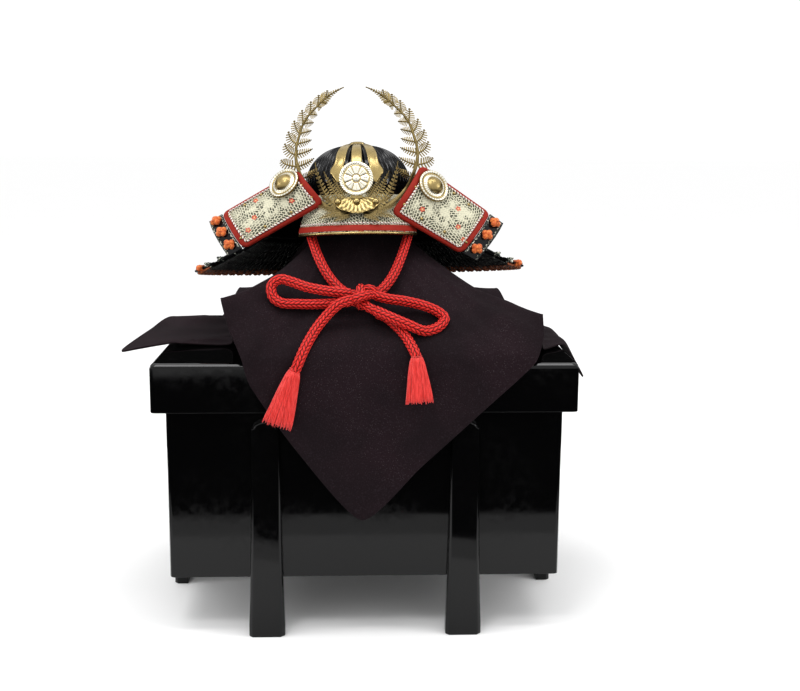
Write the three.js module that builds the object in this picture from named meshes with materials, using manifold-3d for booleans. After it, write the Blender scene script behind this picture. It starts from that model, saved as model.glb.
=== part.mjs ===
// A small display kabuto helmet on a hidden post, over a draped cloth, on a six-legged chest.
// Millimetres, +Z up, front towards -Y, origin on the floor under the middle of the chest.
import * as THREE from 'three';
import Module from 'manifold-3d';
import { mergeVertices } from 'three/addons/utils/BufferGeometryUtils.js';

const wasm = await Module();
wasm.setup();

// The play left between pieces that touch
const gap = 0.3;

// Chest
const lidWidth = 360;
const lidDepth = 280;
const lidHeight = 42;
const lidWall = 9;
const lidTop = 6;
const lidRound = 4.5;
const chestHeight = 240;
const bodyBottom = 50;
const bodyWall = 7;
const bodyFloor = 8;
const bodyCorner = 4;
const bodyClearance = 2;
const legClearance = 9;
const legHeight = chestHeight - lidHeight - legClearance;
const legFootWidth = 31;
const legTopWidth = 25;
const legFootThickness = 13;
const legTopThickness = 7;
const legSpacing = 170;

// Helmet bowl, and where its base stands
const bowlHalfWidth = 49;
const bowlHalfDepth = 52;
const bowlHeight = 47;
const bowlWall = 2;
const bowlBand = 8;
const ribHeight = 1.1;
const ribCount = 24;
const crownHole = 5;
const helmetRise = 131;
const helmetBase = chestHeight + helmetRise;
const helmetOffset = -5;
const tiltBack = 7.5;
const turnLeft = 2;
const rollRight = 1.3;

// Neck guard
const guardHalfWidth = 152;
const guardHalfDepth = 122;
const guardDrop = 66;
const lameCount = 5;
const lameWall = 1.2;
const guardEndTop = 57;
const guardEndRim = 84;

// Visor
const visorEnd = 53;
const visorHalfWidth = 64;
const visorHalfDepth = 80;
const visorDrop = 35;
const visorWall = 1.6;

// Wings
const wingWall = 2.6;
const wingBorder = 4.5;
const wingBulge = 6;
const endPlateLength = 15;
const medallionRadius = 15;

// Crest
const discRadius = 15;
const discThickness = 3;
const discRise = 10.6;
const frondRadius = 54;
const frondRise = 35;
const frondSheet = 1;
const frondLeaf = 17;
const frondPairs = 9;
const crestReach = 60;
const crestPlay = 0.9;

// Cloth
const clothWall = 1.5;
const clothDrop = 137;

// Post
const postHead = 34;
const postBase = 44;
const postShaft = 9;

// Cord and tassels
const cordWidth = 9;
const tasselLength = 44;
const tasselWidth = 25;

const finish = {
  lacquer: [0x0a0908, 0.12, 0.0],
  bowl: [0x15171a, 0.25, 0.3],
  gold: [0xc9a34e, 0.3, 1.0],
  paleGold: [0xe8dcb4, 0.3, 1.0],
  leather: [0xcfc7a8, 0.7, 0.0],
  redLeather: [0x9c3a26, 0.6, 0.0],
  cord: [0xc41f1c, 0.8, 0.0],
  cloth: [0x2a1f26, 0.9, 0.0],
  wood: [0x6b4a2c, 0.6, 0.0],
};

const part = new THREE.Group();
const helmet = new THREE.Group();
part.add(helmet);

function add(parent, name, geometry, [colour, roughness, metalness]) {
  const material = new THREE.MeshStandardMaterial({ color: colour, roughness, metalness });
  const mesh = new THREE.Mesh(geometry, material);
  mesh.name = name;
  parent.add(mesh);
  return mesh;
}

const vec = (x, y, z) => new THREE.Vector3(x, y, z);
const rad = THREE.MathUtils.degToRad;
const mix = THREE.MathUtils.lerp;

// Six times the volume inside a triangle list, negative when it is inside out
function signedVolume(points, faces) {
  let sum = 0;
  for (const [a, b, c] of faces) sum += points[a].dot(points[b].clone().cross(points[c]));
  return sum;
}

// A geometry of shared points and triangles, turned the right way round
function solid(points, faces) {
  const turned = signedVolume(points, faces) < 0 ? faces.map(([a, b, c]) => [a, c, b]) : faces;
  const geometry = new THREE.BufferGeometry();
  geometry.setAttribute('position', new THREE.Float32BufferAttribute(points.flatMap((p) => p.toArray()), 3));
  geometry.setIndex(turned.flat());
  return geometry;
}

// Quads between equal rings, in a row or in a closed circle
function skin(rings, closed) {
  const n = rings[0].length;
  const faces = [];
  const last = closed ? rings.length : rings.length - 1;
  for (let i = 0; i < last; i += 1) {
    const next = (i + 1) % rings.length;
    for (let j = 0; j < n; j += 1) {
      const k = (j + 1) % n;
      faces.push([i * n + j, next * n + j, next * n + k], [i * n + j, next * n + k, i * n + k]);
    }
  }
  return faces;
}

// A closed body through convex rings, with a fan over each end
function loft(rings) {
  const n = rings[0].length;
  const faces = skin(rings, false);
  const top = (rings.length - 1) * n;
  for (let j = 1; j < n - 1; j += 1) {
    faces.push([0, j, j + 1], [top, top + j + 1, top + j]);
  }
  return solid(rings.flat(), faces);
}

// A curved wall: each section is a list of outer points and as many inner points
function wall(sections, closed = false) {
  const n = sections[0].outer.length;
  const rings = sections.map(({ outer, inner }) => [...outer, ...[...inner].reverse()]);
  const faces = skin(rings, closed);
  const ends = closed ? [] : [0, (rings.length - 1) * 2 * n];
  ends.forEach((at, side) => {
    for (let j = 0; j < n - 1; j += 1) {
      const quad = [at + j, at + j + 1, at + 2 * n - 2 - j, at + 2 * n - 1 - j];
      if (side === 1) quad.reverse();
      faces.push([quad[0], quad[1], quad[2]], [quad[0], quad[2], quad[3]]);
    }
  });
  return solid(rings.flat(), faces);
}

const steps = (count) => Array.from({ length: count + 1 }, (_, i) => i / count);

// Chest: rounded rectangles at a height, for boxes and trays
function roundedRect(width, depth, corner, z) {
  const ring = [];
  for (const [sx, sy, start] of [[1, 1, 0], [-1, 1, 90], [-1, -1, 180], [1, -1, 270]]) {
    for (const share of steps(2)) {
      const a = rad(start + 90 * share);
      const x = sx * (width / 2 - corner) + corner * Math.cos(a);
      ring.push(vec(x, sy * (depth / 2 - corner) + corner * Math.sin(a), z));
    }
  }
  return ring;
}

const bodyWidth = lidWidth - 2 * (lidWall + bodyClearance);
const bodyDepth = lidDepth - 2 * (lidWall + bodyClearance);
const lidBottom = chestHeight - lidHeight;
const bodyTop = chestHeight - lidTop - gap;

function chestBody() {
  const inWidth = bodyWidth - 2 * bodyWall;
  const inDepth = bodyDepth - 2 * bodyWall;
  return loft([
    roundedRect(bodyWidth, bodyDepth, bodyCorner, bodyBottom),
    roundedRect(bodyWidth, bodyDepth, bodyCorner, bodyTop),
    roundedRect(inWidth, inDepth, bodyCorner / 2, bodyTop),
    roundedRect(inWidth, inDepth, bodyCorner / 2, bodyBottom + bodyFloor),
  ]);
}

function chestLid() {
  const inWidth = lidWidth - 2 * lidWall;
  const inDepth = lidDepth - 2 * lidWall;
  const round = (share) => {
    const inset = lidRound * (1 - Math.cos(rad(90 * share)));
    const z = chestHeight - lidRound * (1 - Math.sin(rad(90 * share)));
    return roundedRect(lidWidth - 2 * inset, lidDepth - 2 * inset, bodyCorner, z);
  };
  return loft([
    roundedRect(inWidth, inDepth, bodyCorner / 2, chestHeight - lidTop),
    roundedRect(inWidth, inDepth, bodyCorner / 2, lidBottom),
    roundedRect(lidWidth, lidDepth, bodyCorner, lidBottom),
    round(0),
    round(0.35),
    round(0.7),
    round(1),
  ]);
}

// Leg sections: height as a share of the leg, and how far the foot's flare and the arched top have come
const legSections = [
  { height: 0, flare: 1, arch: 1 },
  { height: 0.05, flare: 1, arch: 1 },
  { height: 0.16, flare: 0.72, arch: 1 },
  { height: 0.3, flare: 0.46, arch: 1 },
  { height: 0.55, flare: 0.18, arch: 1 },
  { height: 0.82, flare: 0, arch: 1 },
  { height: 0.965, flare: 0, arch: 0.96 },
  { height: 0.988, flare: 0, arch: 0.72 },
  { height: 1, flare: 0, arch: 0.4 },
];

function leg() {
  return loft(legSections.map(({ height, flare, arch }) => {
    const halfWidth = mix(legTopWidth, legFootWidth, flare) * arch / 2;
    const thickness = mix(legTopThickness, legFootThickness, flare);
    const chamfer = thickness * 0.25;
    const z = legHeight * height;
    return [
      vec(-halfWidth, 0, z),
      vec(-halfWidth, chamfer - thickness, z),
      vec(chamfer - halfWidth, -thickness, z),
      vec(halfWidth - chamfer, -thickness, z),
      vec(halfWidth, chamfer - thickness, z),
      vec(halfWidth, 0, z),
    ];
  }));
}

const legPlaces = [
  { name: 'leg_front_left', x: -legSpacing / 2, y: -bodyDepth / 2 - gap, turn: 0 },
  { name: 'leg_front_right', x: legSpacing / 2, y: -bodyDepth / 2 - gap, turn: 0 },
  { name: 'leg_back_left', x: -legSpacing / 2, y: bodyDepth / 2 + gap, turn: 180 },
  { name: 'leg_back_right', x: legSpacing / 2, y: bodyDepth / 2 + gap, turn: 180 },
  { name: 'leg_side_left', x: -bodyWidth / 2 - gap, y: 0, turn: -90 },
  { name: 'leg_side_right', x: bodyWidth / 2 + gap, y: 0, turn: 90 },
];

add(part, 'chest_body', chestBody(), finish.lacquer);
add(part, 'chest_lid', chestLid(), finish.lacquer);
for (const place of legPlaces) {
  const mesh = add(part, place.name, leg(), finish.lacquer);
  mesh.position.set(place.x, place.y, 0);
  mesh.rotation.z = rad(place.turn);
}

// The helmet's group is tilted back, turned and rolled as it sits on its post
helmet.position.set(helmetOffset, 0, helmetBase);
helmet.rotation.set(rad(-tiltBack), rad(-rollRight), rad(-turnLeft), 'ZXY');
helmet.updateMatrix();
const toWorld = (p) => p.clone().applyMatrix4(helmet.matrix);

// Bowl: a full-bellied dome. turn is the angle from the front, rise goes from the base to the crown
const fullness = 2 / 2.5;
function bowlPoint(turn, rise, outward) {
  const round = Math.cos(rise) ** fullness;
  const fade = Math.sin(Math.min(1, rise / 0.45) * Math.PI / 2);
  const proud = outward > 0 ? outward - ribHeight * fade * (turn.rib ? 0 : 1) : outward;
  const a = turn.angle;
  const x = (bowlHalfWidth + proud) * round * Math.sin(a);
  const y = -(bowlHalfDepth + proud) * round * Math.cos(a);
  return vec(x, y, (bowlHeight + proud) * Math.sin(rise) ** fullness);
}

function bowl() {
  const crown = Math.acos((crownHole / bowlHalfWidth) ** (1 / fullness));
  const rises = [0, 0.25, 0.62, 1.02, crown];
  const sections = [];
  for (let i = 0; i < 2 * ribCount; i += 1) {
    const turn = { angle: Math.PI * i / ribCount, rib: i % 2 === 0 };
    const outer = rises.map((rise) => bowlPoint(turn, rise, rise < 0.01 ? 0 : ribHeight));
    const inner = rises.map((rise) => bowlPoint(turn, rise, -bowlWall));
    const bandOuter = outer[0].clone().setZ(-bowlBand);
    const bandInner = inner[0].clone().setZ(-bowlBand);
    sections.push({ outer: [bandOuter, ...outer], inner: [bandInner, ...inner] });
  }
  return wall(sections, true);
}

add(helmet, 'bowl', bowl(), finish.bowl);

// Gold bands down the bowl: places along each as shares of the bowl's width, depth and height
const bandTables = {
  band_centre: [
    { x: 0, rise: 1.3, half: 3.2 },
    { x: 0, rise: 1.0, half: 4.0 },
    { x: 0, rise: 0.7, half: 4.6 },
    { x: 0, rise: 0.4, half: 4.8 },
    { x: 0, rise: 0.25, half: 4.8 },
  ],
  band_side: [
    { x: 0.12, rise: 1.28, half: 2.4 },
    { x: 0.21, rise: 1.08, half: 3.9 },
    { x: 0.27, rise: 0.8, half: 4.4 },
    { x: 0.31, rise: 0.52, half: 4.4 },
    { x: 0.37, rise: 0.34, half: 5.6 },
    { x: 0.36, rise: 0.24, half: 4.2 },
    { x: 0.34, rise: 0.13, half: 0.8 },
  ],
};
const bandSheet = 0.8;

// A point on the dome's front, found from its sideways place
function domeFront(x, rise, outward) {
  const a = Math.asin(x / ((bowlHalfWidth + outward) * Math.cos(rise) ** fullness));
  return bowlPoint({ angle: a, rib: true }, rise, outward);
}

function band(table, side) {
  const proud = ribHeight + 2 * gap;
  return wall(table.map(({ x, rise, half }) => {
    const across = [-1, -0.5, 0, 0.5, 1].map((s) => side * x * bowlHalfWidth + s * half);
    return {
      outer: across.map((at) => domeFront(at, rise, proud + bandSheet)),
      inner: across.map((at) => domeFront(at, rise, proud)),
    };
  }));
}

add(helmet, 'band_centre', band(bandTables.band_centre, 1), finish.gold);
add(helmet, 'band_left', band(bandTables.band_side, -1), finish.gold);
add(helmet, 'band_right', band(bandTables.band_side, 1), finish.gold);

// A turned piece, from a profile of radius and height pairs that closes on itself or meets the axis
function turned(profile, segments) {
  const geometry = new THREE.LatheGeometry(profile.map(([r, h]) => new THREE.Vector2(r, h)), segments);
  return geometry.rotateX(Math.PI / 2);
}

const crownTop = bowlHeight + ribHeight + gap;
const crownRing = crownHole + 3.5;
const ringGeometry = turned([
  [crownHole - 2, 0], [crownRing, -0.2], [crownRing, 0.8], [crownRing - 1.8, 1.6],
  [crownHole, 2.6], [crownHole - 1.2, 2.4], [crownHole - 2, 0],
], 20);
add(helmet, 'top_ring', ringGeometry, finish.gold).position.z = crownTop + 0.2;

// Visor: flares forward and down from the bowl's base band. drop goes from the base to the rim
function visorPoint(angle, drop, outward) {
  const belly = 2.2 * Math.sin(Math.PI * drop);
  const a = mix(bowlHalfWidth + gap, visorHalfWidth, drop) + belly + outward;
  const b = mix(bowlHalfDepth + gap, visorHalfDepth, drop) + belly + outward;
  return vec(a * Math.sin(angle), -b * Math.cos(angle), -1 - visorDrop * drop);
}

function visorStrip(drops, inside, outside, sections = 18) {
  return wall(steps(sections).map((share) => {
    const angle = rad(mix(-visorEnd, visorEnd, share));
    return {
      outer: drops.map((drop) => visorPoint(angle, drop, outside)),
      inner: drops.map((drop) => visorPoint(angle, drop, inside)),
    };
  }));
}

const rimTube = 2.2;
add(helmet, 'visor', visorStrip([0, 0.35, 0.7, 1], 0, visorWall), finish.leather);
add(helmet, 'visor_band', visorStrip([0.83, 0.98], visorWall + gap, visorWall + gap + 0.7), finish.redLeather);
const rimShare = gap / visorDrop;
const rimEnd = rimShare + rimTube / visorDrop;
add(helmet, 'visor_rim', visorStrip([1 + rimShare, 1 + rimEnd], -0.2, visorWall + 0.4), finish.gold);

// Neck guard: reach goes from the bowl out to the rim
const guardTop = 2;
const guardHollow = 0.45;
function guardShape(reach) {
  const from = gap + lameWall;
  return {
    a: mix(bowlHalfWidth + from, guardHalfWidth, reach),
    b: mix(bowlHalfDepth + from, guardHalfDepth, reach),
    z: -guardTop - guardDrop * ((1 + guardHollow) * reach - guardHollow * reach * reach),
    end: mix(guardEndTop, guardEndRim, reach),
  };
}

function guardPoint(reach, angle, outward) {
  const { a, b, z } = guardShape(reach);
  const slope = Math.atan2(guardDrop * (1 + guardHollow - 2 * guardHollow * reach), guardHalfWidth - bowlHalfWidth);
  const out = outward * Math.sin(slope);
  return vec((a + out) * Math.sin(angle), -(b + out) * Math.cos(angle), z + outward * Math.cos(slope));
}

const lameLap = (lameWall + gap) / 2 + 0.15;
function lame(index) {
  const overlap = 0.06 / lameCount;
  const from = index === 0 ? 0 : index / lameCount - overlap;
  const to = (index + 1) / lameCount + (index === lameCount - 1 ? 0 : overlap);
  const profile = [[from, -lameLap], [(from + to) / 2, 0], [to, lameLap]];
  if (index === 0) profile[0][1] = 0;
  return wall(steps(16).map((share) => {
    const at = ([reach, lap], side) => {
      const { end } = guardShape(reach);
      return guardPoint(reach, rad(mix(end, 360 - end, share)), lap + side * lameWall / 2);
    };
    return { outer: profile.map((p) => at(p, 1)), inner: profile.map((p) => at(p, -1)) };
  }));
}

for (let i = 0; i < lameCount; i += 1) add(helmet, `neck_lame_${i + 1}`, lame(i), finish.bowl);

// Wings: corners as shares of the guard's half width, the bowl's half depth and the bowl's height
const wingCorners = {
  left: {
    innerTop: [-0.349, -0.84, 0.47],
    innerFold: [-0.191, -1.13, -0.19],
    outerFold: [-0.678, -0.87, -1.02],
    outerTop: [-0.816, -0.44, -0.3],
  },
  right: {
    innerTop: [0.382, -0.83, 0.53],
    innerFold: [0.2, -1.215, -0.4],
    outerFold: [0.612, -0.87, -1.18],
    outerTop: [0.796, -0.4, -0.38],
  },
};

function wingFrame(side) {
  const corner = ([x, y, z]) => vec(x * guardHalfWidth, y * bowlHalfDepth, z * bowlHeight);
  const c = wingCorners[side];
  const frame = {
    top: [corner(c.innerTop), corner(c.outerTop)],
    fold: [corner(c.innerFold), corner(c.outerFold)],
  };
  const along = frame.fold[1].clone().sub(frame.fold[0]);
  const up = frame.top[0].clone().sub(frame.fold[0]);
  frame.normal = along.clone().cross(up).normalize();
  if (frame.normal.y > 0) frame.normal.negate();
  frame.length = along.length();
  frame.width = up.length();
  return frame;
}

// along goes from the visor to the outer end, rise from the fold to the free edge
function wingPoint(frame, along, rise, outward) {
  const low = frame.fold[0].clone().lerp(frame.fold[1], along);
  const high = frame.top[0].clone().lerp(frame.top[1], along);
  const bulge = wingBulge * 4 * rise * (1 - rise);
  return low.lerp(high, rise).addScaledVector(frame.normal, bulge + outward);
}

function wingPanel(frame) {
  const inU = (wingBorder + gap) / frame.length;
  const inV = (wingBorder + gap) / frame.width;
  return wall(steps(7).map((share) => {
    const rises = steps(5).map((s) => mix(inV, 1 - inV, s));
    const along = mix(inU, 1 - inU, share);
    return {
      outer: rises.map((rise) => wingPoint(frame, along, rise, wingWall / 2)),
      inner: rises.map((rise) => wingPoint(frame, along, rise, -wingWall / 2)),
    };
  }));
}

// The border runs round the panel, through places given as pairs of along and rise
function wingBorderRing(frame) {
  const inU = wingBorder / frame.length;
  const inV = wingBorder / frame.width;
  const places = [
    ...steps(7).slice(0, -1).map((s) => [s, 0]),
    ...steps(5).slice(0, -1).map((s) => [1, s]),
    ...steps(7).slice(0, -1).map((s) => [1 - s, 1]),
    ...steps(5).slice(0, -1).map((s) => [0, 1 - s]),
  ];
  return wall(places.map(([u, v]) => {
    const inside = [mix(inU, 1 - inU, u), mix(inV, 1 - inV, v)];
    return {
      outer: [wingPoint(frame, u, v, wingWall / 2), wingPoint(frame, ...inside, wingWall / 2)],
      inner: [wingPoint(frame, u, v, -wingWall / 2), wingPoint(frame, ...inside, -wingWall / 2)],
    };
  }), true);
}

// The black plate past the wing's outer end, set back a little
function endPlate(frame) {
  const from = 1 + gap / frame.length;
  const to = from + endPlateLength / frame.length;
  return wall(steps(5).map((s) => {
    const rise = mix(0.02, 0.98, s);
    return {
      outer: [from, to].map((along) => wingPoint(frame, along, rise, -0.2)),
      inner: [from, to].map((along) => wingPoint(frame, along, rise, -0.2 - lameWall)),
    };
  }));
}

// The black strip that turns back from the wing's fold to the front ends of the lames
const returnStart = 0.36;
function wingReturn(frame, side) {
  return wall(steps(6).map((share) => {
    const along = mix(returnStart, 1, share);
    const fold = wingPoint(frame, along, 0, -wingWall / 2 - gap - lameWall / 2);
    const reach = (Math.abs(fold.x) - bowlHalfWidth) / (guardHalfWidth - bowlHalfWidth) + 0.06;
    const { end } = guardShape(reach);
    const edge = guardPoint(reach, side * rad(end - 1.6), lameLap);
    const middle = fold.clone().lerp(edge, 0.5);
    middle.z -= 2;
    const line = [fold, middle, edge];
    const thick = vec(0, -0.45, 0.9).multiplyScalar(lameWall / 2);
    return {
      outer: line.map((p) => p.clone().add(thick)),
      inner: line.map((p) => p.clone().sub(thick)),
    };
  }));
}

// Medallion profile: radius as a share of its own, and height
const medallionProfile = [
  [0, 0], [1, 0], [1, 1.4], [0.93, 2.2], [0.84, 2.2], [0.8, 1.4], [0.7, 1.8], [0.58, 1.8], [0.54, 3],
  [0.42, 5], [0.22, 6.4], [0, 6.8],
];
const medallionPlaces = { left: [0.21, 0.8], right: [0.24, 0.74] };

// How far the wing stands above a medallion's seat, at places under it
function highPoints(frame, seat, normal) {
  return steps(24).flatMap((along) => steps(12).map((rise) => {
    const away = wingPoint(frame, along, rise, wingWall / 2).sub(seat);
    return away.length() < medallionRadius + 2 ? away.dot(normal) : 0;
  }));
}

function placeOn(mesh, point, normal) {
  mesh.position.copy(point);
  mesh.quaternion.setFromUnitVectors(vec(0, 0, 1), normal);
}

for (const [side, sign] of [['left', -1], ['right', 1]]) {
  const frame = wingFrame(side);
  add(helmet, `wing_panel_${side}`, wingPanel(frame), finish.leather);
  add(helmet, `wing_border_${side}`, wingBorderRing(frame), finish.redLeather);
  add(helmet, `wing_end_plate_${side}`, endPlate(frame), finish.bowl);
  add(helmet, `wing_return_${side}`, wingReturn(frame, sign), finish.bowl);
  const [along, rise] = medallionPlaces[side];
  const across = frame.top[0].clone().sub(frame.fold[0]).multiplyScalar(1 / frame.width);
  const lean = wingBulge * 4 * (1 - 2 * rise) / frame.width;
  const normal = frame.normal.clone().addScaledVector(across, -lean).normalize();
  const seat = wingPoint(frame, along, rise, wingWall / 2);
  const proud = Math.max(...highPoints(frame, seat, normal));
  seat.addScaledVector(normal, proud + gap);
  const profile = medallionProfile.map(([r, h]) => [r * medallionRadius, h]);
  placeOn(add(helmet, `medallion_${side}`, turned(profile, 14), finish.paleGold), seat, normal);
}

// Crest sheets stand before the bowl and wrap back at the sides. Below the knee they lean forward
// and flatten, as the visor does.
const crestWrap = 60;
const crestKnee = { top: 5, height: 25, reach: 11.5, flat: 0.0095, round: 0.017 };
function crestDepth(x, z, forward) {
  const low = Math.max(0, (crestKnee.top - z) / crestKnee.height);
  const round = mix(crestKnee.round, crestKnee.flat, Math.min(1, low));
  return round * x * x / (1 + (x / crestWrap) ** 2) - crestReach - crestKnee.reach * low * low - forward;
}

// Bracket rows, over both sprays of fronds
const bracketRows = [
  { z: -20, half: 4 },
  { z: -16, half: 15 },
  { z: -10, half: 20.5 },
  { z: -6.5, half: 19 },
  { z: -5, half: 3.4 },
  { z: 6, half: 3.4 },
];
const bracketSheet = 1.2;
const bracketForward = 2 * frondSheet + 4 * crestPlay + gap;

function bracketPoint(row, s, outward) {
  const x = s * row.half;
  return vec(x, crestDepth(x, row.z, bracketForward + outward), row.z);
}

function bracket() {
  return wall(bracketRows.map((row) => ({
    outer: [-1, -0.6, -0.2, 0.2, 0.6, 1].map((s) => bracketPoint(row, s, bracketSheet)),
    inner: [-1, -0.6, -0.2, 0.2, 0.6, 1].map((s) => bracketPoint(row, s, 0)),
  })));
}

add(helmet, 'crest_bracket', bracket(), finish.gold);

// Disc with a rosette of raised petals on its front
const petalCount = 8;
function disc() {
  const around = 32;
  const shares = [0.2, 0.5, 0.76, 0.84, 1];
  const relief = (r, a) => {
    if (r > 0.9) return 1;
    if (r > 0.8) return 0;
    const petal = Math.abs(Math.cos(petalCount * a / 2));
    return r < 0.2 ? 0.9 : 0.9 * petal * Math.sin(Math.PI * Math.min(1, r / 0.8));
  };
  const point = (r, a, y) => vec(r * discRadius * Math.sin(a), y, r * discRadius * Math.cos(a));
  const points = [vec(0, -discThickness, 0), vec(0, 0, 0)];
  const faces = [];
  for (let i = 0; i < around; i += 1) {
    const a = 2 * Math.PI * i / around;
    for (const r of shares) points.push(point(r, a, -discThickness + 1 - relief(r, a)));
    points.push(point(1, a, 0));
  }
  const n = shares.length + 1;
  for (let i = 0; i < around; i += 1) {
    const here = 2 + i * n;
    const next = 2 + ((i + 1) % around) * n;
    faces.push([0, here, next], [1, next + n - 1, here + n - 1]);
    for (let j = 0; j < n - 1; j += 1) {
      faces.push([here + j, here + j + 1, next + j + 1], [here + j, next + j + 1, next + j]);
    }
  }
  return solid(points, faces);
}

const tongueFront = bracketPoint(bracketRows[4], 0, bracketSheet).y;
add(helmet, 'crest_disc', disc(), finish.paleGold).position.set(0, tongueFront - gap, discRise);

// Bends a flat crest sheet, drawn in x and z, into its wrapped place
function wrapSheet(geometry, forward) {
  geometry.rotateX(Math.PI / 2);
  const place = geometry.attributes.position;
  for (let i = 0; i < place.count; i += 1) {
    place.setY(i, place.getY(i) + crestDepth(place.getX(i), place.getZ(i), forward));
  }
  return geometry;
}

// A great frond: leaves spring in pairs from a rib that follows a circle round the helmet
function greatFrond(side) {
  const ribFrom = rad(-84);
  const ribTo = rad(79);
  const leavesFrom = rad(-30);
  const rib = (a, r) => {
    const x = side * (frondRadius + r) * Math.cos(a);
    return new THREE.Vector2(x, frondRise + (frondRadius + r) * Math.sin(a));
  };
  const half = (a) => mix(1.5, 0.6, (a - ribFrom) / (ribTo - ribFrom));
  const edge = (out) => {
    const line = [];
    for (const s of steps(5).slice(0, -1)) {
      const a = mix(ribFrom, leavesFrom, s);
      line.push(rib(a, out * half(a)));
    }
    for (let i = 0; i < frondPairs; i += 1) {
      const share = i / frondPairs;
      const a = mix(leavesFrom, ribTo, share);
      const size = frondLeaf * (share < 0.3 ? 0.8 + share * 0.66 : 1.14 - share * 0.55);
      const pitch = (ribTo - leavesFrom) / frondPairs;
      const sweep = 0.95 * pitch * size / frondLeaf;
      line.push(rib(a, out * half(a)));
      for (const [along, thick] of [[0.5, -1.5], [1, -0.2], [0.8, 1.3], [0.4, 1.9]]) {
        const bow = sweep * along * along;
        line.push(rib(a + bow + (0.16 + thick * 0.11) * pitch, out * size * along));
      }
      line.push(rib(a + 0.42 * pitch, out * half(a)));
    }
    return line;
  };
  const outline = [...edge(1), rib(ribTo, 0), ...edge(-1).reverse()];
  const shape = new THREE.Shape(outline);
  return wrapSheet(new THREE.ExtrudeGeometry(shape, { depth: frondSheet, bevelEnabled: false, steps: 1 }), crestPlay);
}

add(helmet, 'great_frond_left', greatFrond(-1), finish.gold);
add(helmet, 'great_frond_right', greatFrond(1), finish.gold);

// Small fronds: each rib runs from the bracket through a bend to its tip, in x and z
const smallFronds = [
  { from: [5, -17], bend: [32, -12], tip: [37, 28], half: 4.4 },
  { from: [5, -16], bend: [19, -6], tip: [29, 19], half: 4 },
  { from: [5, -15], bend: [11, -4], tip: [21.5, 12.5], half: 3.4 },
];
const smallTeeth = 6;

function asManifold(geometry) {
  const bare = geometry.clone();
  bare.deleteAttribute('normal');
  bare.deleteAttribute('uv');
  const merged = mergeVertices(bare, 1e-4);
  return new wasm.Manifold(new wasm.Mesh({
    numProp: 3,
    vertProperties: new Float32Array(merged.attributes.position.array),
    triVerts: new Uint32Array(merged.index.array),
  }));
}

function fromManifold(body) {
  const mesh = body.getMesh();
  const geometry = new THREE.BufferGeometry();
  geometry.setAttribute('position', new THREE.Float32BufferAttribute(mesh.vertProperties, 3));
  geometry.setIndex(Array.from(mesh.triVerts));
  return geometry;
}

function smallFrond({ from, bend, tip, half }, side) {
  const flat = ([x, z]) => new THREE.Vector2(side * x, z);
  const rib = new THREE.QuadraticBezierCurve(flat(from), flat(bend), flat(tip));
  const edge = (out) => {
    const line = [];
    for (let i = 0; i < smallTeeth; i += 1) {
      for (const [step, wide] of [[0, 0.9], [0.75, half * (1 - 0.55 * i / smallTeeth)]]) {
        const t = (i + step) / smallTeeth;
        const along = rib.getTangent(t);
        const reach = i < 2 ? 0.9 : wide;
        line.push(rib.getPoint(t).add(new THREE.Vector2(-along.y, along.x).multiplyScalar(out * reach)));
      }
    }
    return line;
  };
  const outline = [...edge(1), rib.getPoint(1), ...edge(-1).reverse()];
  const options = { depth: frondSheet, bevelEnabled: false, steps: 1 };
  return new THREE.ExtrudeGeometry(new THREE.Shape(outline), options);
}

function smallSpray(side) {
  const leaves = smallFronds.map((row) => asManifold(smallFrond(row, side)));
  const joined = leaves.reduce((all, leaf) => all.add(leaf));
  return wrapSheet(fromManifold(joined), frondSheet + 2 * crestPlay);
}

add(helmet, 'small_fronds_left', smallSpray(-1), finish.gold);
add(helmet, 'small_fronds_right', smallSpray(1), finish.gold);

// Rivets stand on the bracket
const rivetPlaces = { left: [-16.5, -9.5], centre: [0, -9.5], right: [16.5, -9.5] };
const rivetRadius = 3.1;
for (const [place, [x, z]] of Object.entries(rivetPlaces)) {
  const corners = [-1, 0, 1].flatMap((i) => [-1, 0, 1].map((k) => [x + i * rivetRadius, z + k * rivetRadius]));
  const front = Math.min(...corners.map(([cx, cz]) => crestDepth(cx, cz, bracketForward + bracketSheet + gap)));
  const profile = [[0, 0], [1, 0], [1, 0.9], [0.77, 2.3], [0.39, 3.1], [0, 3.4]];
  const mesh = add(helmet, `rivet_${place}`, turned(profile.map(([r, h]) => [r * rivetRadius, h]), 12), finish.gold);
  placeOn(mesh, vec(x, front, z), vec(0, -1, 0));
}

// Post: its head meets the cloth under the crown of the tilted bowl
const clothLift = gap + clothWall / 2;
const clothSlack = 1;
const clothDome = postHead + clothLift + clothSlack;
const headDepth = bowlHeight - bowlWall - gap - clothWall / 2 - clothDome;
const headCentre = toWorld(vec(0, 0, headDepth));

function post() {
  const foot = chestHeight + gap;
  const centre = headCentre.z - foot;
  const profile = [[0, 0], [postBase, 0], [postBase, 5], [postBase - 4, 8], [postShaft, 10]];
  profile.push([postShaft, centre - postHead * 0.75], [postHead * 0.6, centre - postHead * 0.6]);
  for (const degrees of [0, 18, 36, 54, 72]) {
    profile.push([postHead * Math.cos(rad(degrees)), centre + postHead * Math.sin(rad(degrees))]);
  }
  profile.push([0, centre + postHead]);
  return turned(profile, 16);
}

add(part, 'stand_post', post(), finish.wood).position.set(headCentre.x, headCentre.y, chestHeight + gap);

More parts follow.
